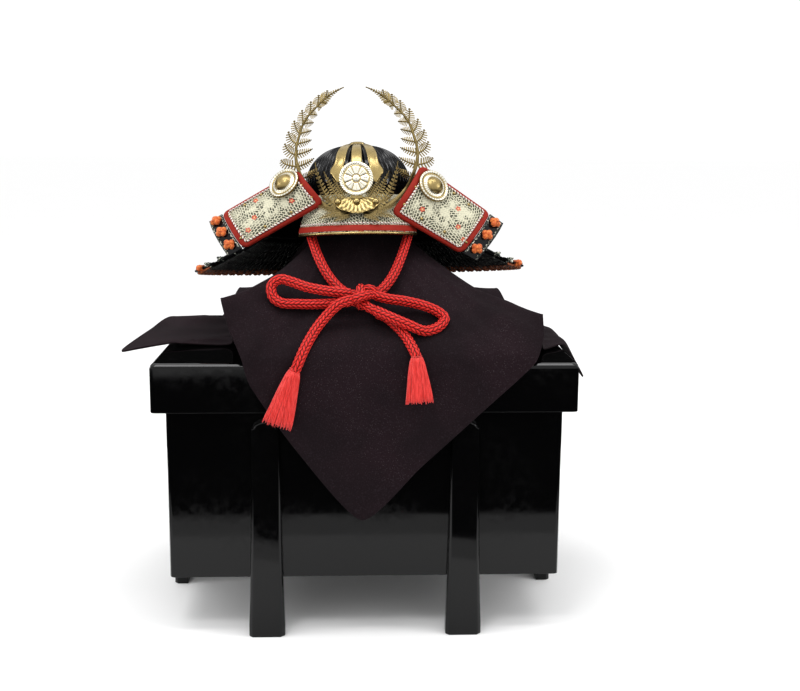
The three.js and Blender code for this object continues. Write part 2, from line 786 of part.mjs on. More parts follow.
// Cloth folds, going round from the front by way of the right. Each row has a place where the sheet
// starts to level, one at its bend and one at its hem, as shares of the lid's half width, the lid's
// half depth and the front corner's drop, from the middle of the lid's top.
const clothFolds = [
  { fold: 'front', level: [-0.01, -0.8, 0.22], bend: [-0.01, -1, 0.02], hem: [-0.02, -1, -1] },
  { fold: 'front right', level: [0.16, -0.79, 0.23], bend: [0.25, -1, 0.02], hem: [0.26, -1, -0.66] },
  { fold: 'right side', level: [0.36, -0.77, 0.25], bend: [0.54, -1, 0.03], hem: [0.56, -1, -0.29] },
  { fold: 'right corner', level: [0.5, -0.72, 0.28], bend: [0.7, -1, 0.07], hem: [0.78, -1.005, -0.01] },
  { fold: 'right roll', level: [0.53, -0.64, 0.33], bend: [0.75, -0.86, 0.21], hem: [0.83, -0.91, 0.14] },
  { fold: 'right ear', level: [0.54, -0.47, 0.37], bend: [0.71, -0.64, 0.3], hem: [0.84, -0.79, 0.26] },
  { fold: 'right dip', level: [0.55, -0.3, 0.05], bend: [0.72, -0.45, 0.02], hem: [0.87, -0.62, 0.015] },
  { fold: 'right flap', level: [0.65, -0.12, 0.02], bend: [0.985, -0.3, 0.015], hem: [1.005, -0.4, 0] },
  { fold: 'right tip', level: [0.65, 0.02, 0.02], bend: [1, 0, 0.015], hem: [1.17, 0, -0.3] },
  { fold: 'right flap back', level: [0.65, 0.16, 0.02], bend: [0.985, 0.22, 0.015], hem: [1.005, 0.32, 0] },
  { fold: 'back right dip', level: [0.55, 0.36, 0.05], bend: [0.72, 0.48, 0.03], hem: [0.86, 0.58, 0.03] },
  { fold: 'back right ear', level: [0.5, 0.5, 0.28], bend: [0.66, 0.66, 0.24], hem: [0.78, 0.82, 0.22] },
  { fold: 'back right corner', level: [0.46, 0.72, 0.24], bend: [0.6, 1, 0.06], hem: [0.68, 1.005, -0.03] },
  { fold: 'back right side', level: [0.24, 0.8, 0.2], bend: [0.36, 1, 0.02], hem: [0.38, 1, -0.49] },
  { fold: 'back', level: [0, 0.82, 0.2], bend: [0, 1, 0.02], hem: [0, 1, -1] },
  { fold: 'back left side', level: [-0.24, 0.8, 0.2], bend: [-0.36, 1, 0.02], hem: [-0.38, 1, -0.49] },
  { fold: 'back left corner', level: [-0.46, 0.72, 0.24], bend: [-0.6, 1, 0.06], hem: [-0.68, 1.005, -0.03] },
  { fold: 'back left ear', level: [-0.5, 0.55, 0.28], bend: [-0.62, 0.7, 0.24], hem: [-0.7, 0.84, 0.22] },
  { fold: 'back left dip', level: [-0.52, 0.42, 0.05], bend: [-0.68, 0.5, 0.025], hem: [-0.8, 0.62, 0.02] },
  { fold: 'left flap back', level: [-0.62, 0.22, 0.08], bend: [-0.86, 0.34, 0.08], hem: [-1.05, 0.43, 0.06] },
  { fold: 'left flap', level: [-0.64, 0.06, 0.05], bend: [-0.98, 0.1, 0.03], hem: [-1.12, 0.14, 0.02] },
  { fold: 'left tip', level: [-0.62, -0.12, 0.03], bend: [-0.98, -0.4, 0.02], hem: [-1.17, -0.61, 0] },
  { fold: 'left flap front', level: [-0.58, -0.2, 0.03], bend: [-0.8, -0.32, 0.02], hem: [-0.98, -0.43, 0.02] },
  { fold: 'left dip', level: [-0.46, -0.28, 0.04], bend: [-0.56, -0.35, 0.02], hem: [-0.66, -0.42, 0.015] },
  { fold: 'left ear', level: [-0.43, -0.44, 0.46], bend: [-0.54, -0.64, 0.4], hem: [-0.67, -0.86, 0.37] },
  { fold: 'left roll', level: [-0.4, -0.66, 0.36], bend: [-0.54, -0.87, 0.24], hem: [-0.63, -0.95, 0.2] },
  { fold: 'left corner', level: [-0.38, -0.74, 0.27], bend: [-0.53, -1, 0.09], hem: [-0.57, -1.005, 0.02] },
  { fold: 'left side', level: [-0.34, -0.77, 0.25], bend: [-0.49, -1, 0.03], hem: [-0.53, -1, -0.15] },
  { fold: 'front left', level: [-0.18, -0.79, 0.23], bend: [-0.27, -1, 0.02], hem: [-0.33, -1, -0.54] },
];

function clothPlace([x, y, z]) {
  return vec(
    x * (lidWidth / 2 + clothLift),
    y * (lidDepth / 2 + clothLift),
    chestHeight + 1.3 * clothLift + z * clothDrop,
  );
}

const raysPerFold = 1;
const clothNeck = { radius: postHead + 5, below: 32 };

function clothRay(level, bend, hem) {
  const turn = Math.atan2(level.x - headCentre.x, -(level.y - headCentre.y));
  const around = (radius, z) => vec(
    headCentre.x + radius * Math.sin(turn),
    headCentre.y - radius * Math.cos(turn),
    headCentre.z + z,
  );
  const ray = [20, 42, 64, 88].map((degrees) => {
    const a = rad(degrees);
    return around(clothDome * Math.sin(a), clothDome * Math.cos(a));
  });
  const neck = around(clothNeck.radius, -clothNeck.below);
  const slope = neck.clone().lerp(level, 0.5);
  slope.z -= 4;
  return [...ray, neck, slope, level, bend, hem];
}

function drapedCloth() {
  const count = clothFolds.length * raysPerFold;
  const rounds = ['level', 'bend', 'hem'].map((key) => {
    const curve = new THREE.CatmullRomCurve3(clothFolds.map((row) => clothPlace(row[key])), true, 'centripetal');
    return Array.from({ length: count }, (_, i) => curve.getPoint(i / count));
  });
  const rays = Array.from({ length: count }, (_, i) => clothRay(...rounds.map((round) => round[i])));
  const peak = vec(headCentre.x, headCentre.y, headCentre.z + clothDome);
  const n = rays[0].length;
  const normal = (i, j) => {
    const at = (k, m) => (m < 0 ? peak : rays[(k + count) % count][Math.min(m, n - 1)]);
    const down = at(i, j + 1).clone().sub(at(i, j - 1));
    const round = at(i + 1, j).clone().sub(at(i - 1, j));
    return round.cross(down).normalize().negate();
  };
  const half = clothWall / 2;
  const points = [peak.clone().add(vec(0, 0, half)), peak.clone().sub(vec(0, 0, half))];
  for (const side of [1, -1]) {
    rays.forEach((ray, i) => ray.forEach((p, j) => {
      points.push(p.clone().addScaledVector(normal(i, j), side * half));
    }));
  }
  const faces = [];
  const id = (side, i, j) => 2 + side * count * n + (i % count) * n + j;
  for (let i = 0; i < count; i += 1) {
    faces.push([0, id(0, i, 0), id(0, i + 1, 0)], [1, id(1, i + 1, 0), id(1, i, 0)]);
    for (let j = 0; j < n - 1; j += 1) {
      const quad = [[i, j], [i, j + 1], [i + 1, j + 1], [i + 1, j]];
      const [a, b, c, d] = quad.map(([k, m]) => id(0, k, m));
      const [e, f, g, h] = quad.map(([k, m]) => id(1, k, m));
      faces.push([a, b, c], [a, c, d], [e, g, f], [e, h, g]);
    }
    const edge = [id(0, i, n - 1), id(0, i + 1, n - 1), id(1, i + 1, n - 1), id(1, i, n - 1)];
    faces.push([edge[0], edge[3], edge[2]], [edge[0], edge[2], edge[1]]);
  }
  return solid(points, faces);
}

add(part, 'draped_cloth', drapedCloth(), finish.cloth);

// Cord routes: points chosen by hand, from the middle of the lid's top
const knotPlace = [-3, -108, 51];
const cordRoutes = {
  chin_cord: [
    [-15, -100, 53], [-24, -94, 59], [-33, -85, 69], [-41, -73, 83], [-46, -58, 95], [-49, -42, 102],
    [-51, -28, 104], [-53.5, -12, 105.5], [-54.5, 5, 105.5], [-48, 26, 105.5], [-33, 42, 105.5], [-14, 49.8, 105.5],
    [8, 48.8, 105.5], [27, 39, 105.5], [40, 22, 105.5], [44.5, 1, 105.5], [43.5, -15, 105], [41.5, -29, 104],
    [40, -43, 102], [37, -58, 95], [32, -73, 83], [25, -85, 69], [17, -94, 59], [9, -100, 53],
  ],
  bow_loop_left: [
    [-11.2, -110, 55], [-31, -109, 57], [-50, -105, 60], [-63, -101, 64], [-73, -100, 66], [-80, -101, 61],
    [-79, -105, 52], [-72, -108, 47], [-57, -109, 46], [-38, -109, 46], [-11.2, -109, 48],
  ],
  bow_loop_right: [
    [6.2, -110, 54], [19, -112, 51], [33, -112, 49], [50, -113, 45], [62, -115, 40], [67, -118, 35],
    [62, -124, 29], [50, -129, 26], [35, -132, 32], [20, -129, 38], [6.2, -121.5, 43],
  ],
  cord_tail_left: [
    [-10, -121, 52], [-22, -122, 48], [-33, -124, 38], [-43, -131, 26], [-51, -142, 13], [-56, -148, 2],
    [-60, -148.5, -8],
  ],
  cord_tail_right: [
    [8, -113, 39], [17, -117, 36], [25, -122, 30], [33, -131.5, 22], [38.5, -140.5, 14], [41, -145.5, 9],
    [42, -147.5, 5],
  ],
};
const cordSteps = { chin_cord: 28, bow_loop_left: 14, bow_loop_right: 14, cord_tail_left: 8, cord_tail_right: 7 };
const cordSides = 8;

const fromLid = ([x, y, z]) => vec(x, y, chestHeight + z);

function cordTube(points, count) {
  const route = new THREE.CatmullRomCurve3(points.map(fromLid), false, 'centripetal');
  const section = new THREE.Shape(Array.from({ length: cordSides }, (_, i) => {
    const a = 2 * Math.PI * i / cordSides;
    return new THREE.Vector2(cordWidth / 2 * Math.cos(a), cordWidth / 2 * Math.sin(a));
  }));
  return new THREE.ExtrudeGeometry(section, { steps: count, extrudePath: route });
}

for (const [name, points] of Object.entries(cordRoutes)) {
  add(part, name, cordTube(points, cordSteps[name]), finish.cord);
}

// Knot: a small round lump
function knot() {
  const geometry = new THREE.SphereGeometry(1, 14, 9);
  geometry.scale(cordWidth * 0.92, cordWidth * 0.72, cordWidth * 0.9);
  return geometry;
}
add(part, 'bow_knot', knot(), finish.cord).position.copy(fromLid(knotPlace));

// Tassel sections: place along it, and width of its skirt, as shares of its length and width
const tasselSections = [
  { along: 0, wide: 0.34, locks: 0 },
  { along: 0.04, wide: 0.42, locks: 0 },
  { along: 0.12, wide: 0.42, locks: 0.03 },
  { along: 0.2, wide: 0.46, locks: 0.06 },
  { along: 0.5, wide: 0.72, locks: 0.1 },
  { along: 0.85, wide: 0.95, locks: 0.13 },
  { along: 1, wide: 0.98, locks: 0.16 },
];
const lockCount = 9;

function tassel(top, bottom, length) {
  const start = fromLid(top);
  const along = fromLid(bottom).sub(start).normalize();
  start.addScaledVector(along, 2 * gap);
  const side = vec(1, 0, 0).cross(along).normalize();
  const across = along.clone().cross(side).normalize();
  return loft(tasselSections.map((row) => Array.from({ length: 2 * lockCount }, (_, i) => {
    const a = Math.PI * i / lockCount;
    const r = row.wide * tasselWidth / 2 * (1 - row.locks * (i % 2));
    const flat = 0.42 + 0.28 * (1 - row.along);
    return start.clone()
      .addScaledVector(along, row.along * length)
      .addScaledVector(across, r * Math.cos(a))
      .addScaledVector(side, r * flat * Math.sin(a));
  })));
}

add(part, 'tassel_left', tassel([-60, -148.5, -8], [-74, -149.5, -50], tasselLength), finish.cord);
add(part, 'tassel_right', tassel([42.1, -147.6, 4.1], [44.5, -151, -32], tasselLength * 0.8), finish.cord);

export default part;
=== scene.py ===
"""Small display helmet on a black chest: draped cloth, red cord, gold crest and leather wings."""

import math

import bmesh
import bpy
import numpy as np
from bpy.props import FloatProperty, FloatVectorProperty, IntProperty, PointerProperty
from bpy.types import Operator, Panel, PropertyGroup
from mathutils import Matrix, Vector


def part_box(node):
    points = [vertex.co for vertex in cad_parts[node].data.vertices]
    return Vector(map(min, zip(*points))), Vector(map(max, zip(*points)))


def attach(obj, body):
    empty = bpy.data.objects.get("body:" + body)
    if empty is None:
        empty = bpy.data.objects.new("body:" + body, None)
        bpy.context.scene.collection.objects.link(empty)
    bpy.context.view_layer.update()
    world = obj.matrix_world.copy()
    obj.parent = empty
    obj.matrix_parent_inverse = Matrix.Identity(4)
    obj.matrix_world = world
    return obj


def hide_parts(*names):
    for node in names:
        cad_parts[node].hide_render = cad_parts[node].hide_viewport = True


bl_info = {
    "name": "Helmet on a Display Chest",
    "version": (1, 0, 0),
    "blender": (4, 5, 0),
    "location": "View3D > Sidebar > Helmet",
    "description": "Makes a small display helmet with its crest, cord, cloth and chest",
    "category": "Add Mesh",
}

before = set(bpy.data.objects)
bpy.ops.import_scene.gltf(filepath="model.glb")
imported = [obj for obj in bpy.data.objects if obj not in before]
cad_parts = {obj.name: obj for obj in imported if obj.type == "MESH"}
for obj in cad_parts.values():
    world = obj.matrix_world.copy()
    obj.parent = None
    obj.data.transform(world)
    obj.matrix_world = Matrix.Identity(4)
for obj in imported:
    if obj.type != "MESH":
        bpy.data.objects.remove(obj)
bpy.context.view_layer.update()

MM = 0.001
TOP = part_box("chest_lid")[1][2] / MM
TURN = np.array((
    Matrix.Rotation(math.radians(-2), 3, "Z")
    @ Matrix.Rotation(math.radians(-7.5), 3, "X")
    @ Matrix.Rotation(math.radians(-1.3), 3, "Y")
))
# The helmet's base stands this high above the lid.
HELMET_HEIGHT = 131.0
SEAT = np.array((-5.0, 0.0, TOP + HELMET_HEIGHT))


class StageSettings(PropertyGroup):
    """Camera, light and floor."""
    lens: FloatProperty(name="Lens", description="Focal length on a 36 mm sensor", default=52.5)
    camera_place: FloatVectorProperty(
        name="Camera", description="Where the camera stands", subtype="TRANSLATION",
        default=(-0.0167, -1.0956, 0.4226))
    floor_colour: FloatVectorProperty(
        name="Floor", description="Colour of the floor", subtype="COLOR", default=(0.93, 0.93, 0.93))
    light: FloatProperty(name="Light", description="Strength of the sky light", default=0.90)


class CordSettings(PropertyGroup):
    """The braided cord and its tassels."""
    diameter: FloatProperty(name="Diameter", description="Cord's diameter", default=0.009, unit="LENGTH")
    columns: IntProperty(name="Columns", description="Columns of stitches round the cord", default=8)
    stitch: FloatProperty(name="Stitch", description="Length of one stitch", default=0.0042,
                          unit="LENGTH")
    colour: FloatVectorProperty(
        name="Colour", description="Colour of the silk", subtype="COLOR", default=(0.56, 0.018, 0.012))
    strands: IntProperty(name="Strands", description="Loose strands on each tassel", default=260)


class ClothSettings(PropertyGroup):
    """The cloth under the helmet."""
    rays: IntProperty(name="Rays", description="Lines of points from crown to hem", default=360)
    thickness: FloatProperty(name="Thickness", description="Cloth's thickness", default=0.0011,
                             unit="LENGTH")
    colour: FloatVectorProperty(
        name="Colour", description="Ground colour", subtype="COLOR", default=(0.0155, 0.0105, 0.0125))


class HelmetSettings(PropertyGroup):
    """Bowl, crest, wings and neck guard."""
    ribs: IntProperty(name="Ribs", description="Ribs round the bowl", default=62)
    gold: FloatVectorProperty(
        name="Gold", description="Colour of the gilt metal", subtype="COLOR", default=(0.44, 0.34, 0.155))
    pale_gold: FloatVectorProperty(
        name="Pale gold", description="Colour of the disc", subtype="COLOR", default=(0.97, 0.95, 0.84))
    leather: FloatVectorProperty(
        name="Leather", description="Ground of the leather", subtype="COLOR", default=(0.67, 0.645, 0.49))
    border: FloatVectorProperty(name="Border", description="Red leather of the borders", subtype="COLOR",
                                default=(0.255, 0.020, 0.011))


def on_helmet(points):
    """World metres of helmet millimetres: turned by the helmet's lean, then moved to its seat."""
    return (np.asarray(points) @ TURN.T + SEAT) * MM


def above_lid(points):
    """World metres of points given in millimetres with z counted from the lid's top."""
    return (np.asarray(points, float) + (0, 0, TOP)) * MM


def mix(a, b, t):
    """Straight blend: a + (b - a) t."""
    return a + (b - a) * t


def smooth_step(x, low, high):
    """0 below low, 1 above high, and 3 t squared - 2 t cubed between them."""
    t = np.clip((x - low) / (high - low), 0, 1)
    return t * t * (3 - 2 * t)


def run_of(line):
    """Length along a polyline from its start to each of its points."""
    return np.concatenate([[0], np.cumsum(np.linalg.norm(np.diff(line, axis=0), axis=1))])


def turns(count):
    """Even angles round a full turn."""
    return np.arange(count) * 2 * math.pi / count


def points_of(x, y, z):
    """Points of x, y and z, each spread to the shape they have together."""
    return np.stack(np.broadcast_arrays(x, y, z), axis=-1)


def even_steps(line, step=None, count=None):
    """The polyline sampled again at even steps along its length."""
    run = run_of(line)
    if count is None:
        count = max(4, int(round(run[-1] / step)) + 1)
    at = np.linspace(0, run[-1], count)
    return np.stack([np.interp(at, run, line[:, k]) for k in range(line.shape[1])], axis=1)


def cubic(a, b, slope_a, slope_b, t):
    """Cubic from a at t = 0 to b at t = 1 with these slopes there."""
    square = 3 * (b - a) - 2 * slope_a - slope_b
    cube = 2 * (a - b) + slope_a + slope_b
    return a + slope_a * t + square * t ** 2 + cube * t ** 3


def curve_through(points, step=None, count=None):
    """Centripetal Catmull-Rom curve through the points: knots are apart by the root of the distance."""
    p = np.asarray(points, float)
    p = np.vstack([2 * p[0] - p[1], p, 2 * p[-1] - p[-2]])
    gap = np.sqrt(np.linalg.norm(np.diff(p, axis=0), axis=1))[:, None]
    p0, p1, p2, p3 = p[:-3], p[1:-2], p[2:-1], p[3:]
    g0, g1, g2 = gap[:-2], gap[1:-1], gap[2:]
    start = ((p1 - p0) / g0 - (p2 - p0) / (g0 + g1) + (p2 - p1) / g1) * g1
    end = ((p2 - p1) / g1 - (p3 - p1) / (g1 + g2) + (p3 - p2) / g2) * g1
    t = np.linspace(0, 1, 32, endpoint=False)[None, :, None]
    p1, p2, start, end = (a[:, None, :] for a in (p1, p2, start, end))
    line = np.vstack([cubic(p1, p2, start, end, t).reshape(-1, p.shape[1]), p[-2]])
    return even_steps(line, step, count)


def table_curve(rows, at, ease=0.8, closed=False):
    """Cardinal curve through table rows at row numbers `at`. The slope at a row is ease / 2 times the
    difference of the rows after and before it."""
    rows = np.asarray(rows, float)
    n = len(rows)
    k = np.floor(at).astype(int)
    t = (at - k).reshape(-1, *[1] * (rows.ndim - 1))
    pick = (lambda i: rows[i % n]) if closed else (lambda i: rows[np.clip(i, 0, n - 1)])
    a, b, c, d = pick(k - 1), pick(k), pick(k + 1), pick(k + 2)
    return cubic(b, c, (c - a) * ease / 2, (d - b) * ease / 2, t)


def grid_faces(rows, columns, first=0, wrap_rows=False, wrap_columns=False):
    """Quads of a grid of points numbered row by row."""
    r = np.arange(rows if wrap_rows else rows - 1)
    c = np.arange(columns if wrap_columns else columns - 1)
    r, c = np.meshgrid(r, c, indexing="ij")
    r2 = (r + 1) % rows
    c2 = (c + 1) % columns
    quads = np.stack([r * columns + c, r * columns + c2, r2 * columns + c2, r2 * columns + c], axis=-1)
    return quads.reshape(-1, 4) + first


def ring_faces(rows, sides):
    """Faces of rings of points numbered ring by ring, with a closing face at each end."""
    ring = np.arange(sides)[None]
    return [grid_faces(rows, sides, 0, False, True), ring[:, ::-1], (rows - 1) * sides + ring]


def wall(front, back, wrap=False):
    """Closed wall between two grids of points (rows, columns, 3): both sides, and a rim round them."""
    rows, columns = front.shape[:2]
    points = np.concatenate([front.reshape(-1, 3), back.reshape(-1, 3)])
    far = rows * columns
    quads = [grid_faces(rows, columns, 0, False, wrap),
             grid_faces(rows, columns, far, False, wrap)[:, ::-1]]
    number = np.arange(far).reshape(rows, columns)
    edges = [number[0], number[-1][::-1]]
    if wrap:
        edges = [np.append(number[0], number[0, 0]), np.append(number[-1], number[-1, 0])[::-1]]
    else:
        edges += [number[::-1, 0], number[:, -1]]
    for edge in edges:
        quads.append(np.stack([edge[1:], edge[:-1], edge[:-1] + far, edge[1:] + far], axis=1))
    return points, [np.concatenate(quads)]


def tubes(paths, radius, sides=6, up=(0.0, 0.0, 1.0), flat=1.0):
    """Closed tubes on paths (n, m, 3): a ring of `sides` points round each path point, in the plane
    across the path, flattened by `flat` in the direction nearest to `up`. The end rings are smaller,
    with closing faces."""
    paths = np.asarray(paths, float)
    n, m = paths.shape[:2]
    along = np.gradient(paths, axis=1)
    along /= np.linalg.norm(along, axis=2, keepdims=True) + 1e-12
    across = np.cross(along, np.broadcast_to(up, along.shape))
    across /= np.linalg.norm(across, axis=2, keepdims=True) + 1e-12
    third = np.cross(across, along)
    turn = turns(sides)
    size = np.broadcast_to(np.asarray(radius, float), (n, m)).copy()
    size[:, 0] *= 0.55
    size[:, -1] *= 0.55
    ring = (across[:, :, None] * np.cos(turn)[None, None, :, None]
            + third[:, :, None] * np.sin(turn)[None, None, :, None] * flat)
    points = paths[:, :, None] + ring * size[:, :, None, None]
    base = np.arange(n)[:, None, None] * m * sides
    quads = (grid_faces(m, sides, 0, False, True)[None] + base).reshape(-1, 4)
    starts = np.arange(n)[:, None] * m * sides + np.arange(sides)[::-1]
    ends = np.arange(n)[:, None] * m * sides + (m - 1) * sides + np.arange(sides)
    return points.reshape(-1, 3), [quads, starts, ends]


def lathe(profile, segments, centre, axis, across):
    """Closed turned form: each profile point (radius, height) swept round the axis."""
    profile = np.asarray(profile, float)
    centre, axis, across = (np.asarray(a, float) for a in (centre, axis, across))
    axis = axis / np.linalg.norm(axis)
    across = across - axis * (across @ axis)
    across = across / np.linalg.norm(across)
    third = np.cross(axis, across)
    turn = turns(segments)
    way = across * np.cos(turn)[:, None] + third * np.sin(turn)[:, None]
    radius = np.maximum(profile[:, 0], 0.01)[:, None, None]
    rings = centre + axis * profile[:, 1, None, None] + way[None] * radius
    return rings.reshape(-1, 3), ring_faces(len(profile), segments)


def together(parts):
    """Several (points, faces) lists as one."""
    points, faces, first = [], [], 0
    for part_points, part_faces in parts:
        points.append(part_points)
        faces += [np.asarray(f) + first for f in part_faces]
        first += len(part_points)
    return np.concatenate(points), faces


def make_piece(name, shape, material, slot, nodes=(), sharp=None, **attributes):
    """Puts points and faces into a mesh, turns its faces outwards, and lets it ride on the frame."""
    points, faces = shape
    corners = np.concatenate([np.asarray(f).ravel() for f in faces]).astype(np.int32)
    counts = np.concatenate([np.full(len(f), np.shape(f)[1]) for f in faces])
    mesh = bpy.data.meshes.new(name)
    mesh.vertices.add(len(points))
    mesh.vertices.foreach_set("co", np.ascontiguousarray(points, dtype=np.float32).ravel())
    mesh.loops.add(len(corners))
    mesh.loops.foreach_set("vertex_index", corners)
    mesh.polygons.add(len(counts))
    mesh.polygons.foreach_set("loop_start",
                              np.concatenate([[0], np.cumsum(counts)[:-1]]).astype(np.int32))
    mesh.update(calc_edges=True)
    for key, values in attributes.items():
        values = np.asarray(values, np.float32)
        kind, field = ("FLOAT", "value") if values.ndim == 1 else ("FLOAT_VECTOR", "vector")
        mesh.attributes.new(key, kind, "POINT").data.foreach_set(field, values.ravel())
    work = bmesh.new()
    work.from_mesh(mesh)
    bmesh.ops.recalc_face_normals(work, faces=work.faces)
    work.to_mesh(mesh)
    work.free()
    mesh.shade_smooth()
    if sharp is not None:
        mesh.set_sharp_from_angle(angle=math.radians(sharp))
    mesh.materials.append(material)
    piece = bpy.data.objects.new(name, mesh)
    bpy.context.scene.collection.objects.link(piece)
    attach(piece, "root")
    if nodes:
        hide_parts(*nodes)
    return piece


def helmet_piece(name, shape, material, slot, nodes=(), **more):
    """A piece given in the helmet's millimetres."""
    points, faces = shape
    return make_piece(name, (on_helmet(points), faces), material, slot, nodes, **more)


def dress_node(name, material, bevel):
    """A kept CAD solid: its points welded, its edges rounded by `bevel` metres, and its finish set."""
    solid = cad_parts[name]
    weld = solid.modifiers.new("Weld", "WELD")
    weld.merge_threshold = 0.00001
    edge = solid.modifiers.new("Bevel", "BEVEL")
    edge.width = bevel
    edge.segments = 3
    edge.limit_method = "ANGLE"
    edge.angle_limit = math.radians(28)
    edge.use_clamp_overlap = True
    shade = solid.modifiers.new("Shade", "WEIGHTED_NORMAL")
    shade.keep_sharp = False
    solid.data.shade_smooth()
    for place in solid.material_slots:
        place.material = material


def put(tree, socket, value):
    """Links a socket into another one, or sets its plain value; a plain colour gets its alpha."""
    if isinstance(value, bpy.types.NodeSocket):
        tree.links.new(value, socket)
    elif socket.type == "RGBA":
        socket.default_value = (*value, 1.0)
    else:
        socket.default_value = value


def feed(tree, made, **inputs):
    """Links or sets a node's inputs by name (_ stands for a space)."""
    for key, value in inputs.items():
        put(tree, made.inputs[key.replace("_", " ")], value)


def node(tree, kind, settings=(), **inputs):
    """Adds a node, sets its options, and links or sets its inputs."""
    made = tree.nodes.new(kind)
    for key, value in dict(settings).items():
        setattr(made, key, value)
    feed(tree, made, **inputs)
    return made


def calc(tree, operation, *values):
    """A Math node on sockets or numbers."""
    made = node(tree, "ShaderNodeMath", {"operation": operation})
    for socket, value in zip(made.inputs, values):
        put(tree, socket, value)
    return made.outputs[0]


def blend(tree, factor, a, b):
    """A colour mix: a where the factor is 0, b where it is 1."""
    made = node(tree, "ShaderNodeMix", {"data_type": "RGBA"})
    for index, value in ((0, factor), (6, a), (7, b)):
        put(tree, made.inputs[index], value)
    return made.outputs[2]


def shade(colour, share, lift=0.0):
    """The colour times a share plus a lift, never above 1."""
    return tuple(min(1.0, c * share + lift) for c in colour)


def mask(tree, value, low, high, start=0.0, end=1.0):
    """A smooth step from `start` to `end` as the value goes from low to high."""
    made = node(tree, "ShaderNodeMapRange", {"interpolation_type": "SMOOTHSTEP"}, Value=value,
                From_Min=low, From_Max=high, To_Min=start, To_Max=end)
    return made.outputs[0]


def place_of(tree):
    """Object coordinates, in metres."""
    return tree.nodes.new("ShaderNodeTexCoord").outputs["Object"]


def attribute(tree, name, output="Fac"):
    """One of the piece's own attributes."""
    made = tree.nodes.new("ShaderNodeAttribute")
    made.attribute_name = name
    return made.outputs[output]


def noise(tree, vector, scale, detail=3.0):
    """Noise value on a vector."""
    made = node(tree, "ShaderNodeTexNoise", Vector=vector, Scale=scale, Detail=detail, Roughness=0.55)
    return made.outputs[0]


def parts_of(tree, vector):
    """The x, y and z of a vector."""
    return node(tree, "ShaderNodeSeparateXYZ", Vector=vector).outputs


def new_group(name, values, output):
    """An empty shader node group: a Vector and some float inputs, and one float output."""
    group = bpy.data.node_groups.new(name, "ShaderNodeTree")
    group.interface.new_socket(name="Vector", in_out="INPUT", socket_type="NodeSocketVector")
    for label in values:
        group.interface.new_socket(name=label, in_out="INPUT", socket_type="NodeSocketFloat")
    group.interface.new_socket(name=output, in_out="OUTPUT", socket_type="NodeSocketFloat")
    return group, group.nodes.new("NodeGroupInput").outputs, group.nodes.new("NodeGroupOutput").inputs[0]


def use_group(tree, group, **inputs):
    """Places a node group in a material with its own values, and gives its first output."""
    return node(tree, "ShaderNodeGroup", {"node_tree": group}, **inputs).outputs[0]


def group_once(maker):
    """Makes a node group the first time it is asked for, and hands out the same one later."""
    def give():
        return bpy.data.node_groups.get(maker.__name__) or maker(maker.__name__)
    return give


@group_once
def handling_group(name):
    """Soft patches where hands and dust dull a surface: two noises, one 11 times finer, multiplied."""
    group, given, result = new_group(name, ("Scale", "Amount"), "Mask")
    broad = noise(group, given["Vector"], given["Scale"], 4.0)
    fine = noise(group, given["Vector"], calc(group, "MULTIPLY", given["Scale"], 11.0), 2.0)
    both = calc(group, "MULTIPLY", mask(group, broad, 0.42, 0.68), mask(group, fine, 0.3, 0.7))
    put(group, result, calc(group, "MULTIPLY", both, given["Amount"]))
    return group


@group_once
def grain_group(name):
    """Leather grain: small cells, higher in the middle than along their edges, with fine noise."""
    group, given, result = new_group(name, ("Scale",), "Height")
    place, scale = given["Vector"], given["Scale"]
    cells = node(group, "ShaderNodeTexVoronoi", {"feature": "F1"}, Vector=place, Scale=scale)
    fine = noise(group, place, calc(group, "MULTIPLY", scale, 2.3))
    low = calc(group, "SUBTRACT", 1.0, cells.outputs["Distance"])
    total = calc(group, "ADD", calc(group, "MULTIPLY", low, 0.7), calc(group, "MULTIPLY", fine, 0.3))
    put(group, result, total)
    return group


@group_once
def thread_group(name):
    """Silk threads: height = 0.3 sin(Across times Scale) + noise."""
    group, given, result = new_group(name, ("Across", "Scale"), "Height")
    wave = calc(group, "SINE", calc(group, "MULTIPLY", given["Across"], given["Scale"]))
    rough = noise(group, given["Vector"], 2600.0, 2.0)
    put(group, result, calc(group, "ADD", calc(group, "MULTIPLY", wave, 0.3), rough))
    return group


def new_material(name, **values):
    """A material with one shader, whose plain inputs are set by name (_ stands for a space)."""
    material = bpy.data.materials.new(name)
    material.use_nodes = True
    tree = material.node_tree
    tree.nodes.clear()
    out = tree.nodes.new("ShaderNodeOutputMaterial")
    shader = node(tree, "ShaderNodeBsdfPrincipled", **values)
    tree.links.new(shader.outputs[0], out.inputs[0])
    return material, tree, shader


def once(maker):
    """Makes a material the first time it is asked for, and hands out the same one later."""
    def give(*values):
        name = maker.__name__ + "_finish"
        return bpy.data.materials.get(name) or maker(name, *values)
    return give


def bump(tree, shader, height, distance, strength):
    """Feeds a height through a Bump node into the shader's normal."""
    made = node(tree, "ShaderNodeBump", Height=height, Distance=distance, Strength=strength)
    feed(tree, shader, Normal=made.outputs[0])


def patches(tree, place, scale, amount):
    """Patches of wear, dust or tarnish, up to `amount`."""
    return use_group(tree, handling_group(), Vector=place, Scale=scale, Amount=amount)


@once
def chest_lacquer(name):
    """Deep black gloss lacquer: dulled a little in patches, with a very soft ripple."""
    material, tree, shader = new_material(name, Specular_IOR_Level=0.4)
    place = place_of(tree)
    dull = patches(tree, place, 14.0, 0.10)
    feed(tree, shader,
         Base_Color=blend(tree, dull, (0.0018, 0.0018, 0.002), (0.012, 0.012, 0.012)),
         Roughness=calc(tree, "ADD", dull, 0.05))
    bump(tree, shader, noise(tree, place, 26.0, 1.0), 0.00025, 0.25)
    return material


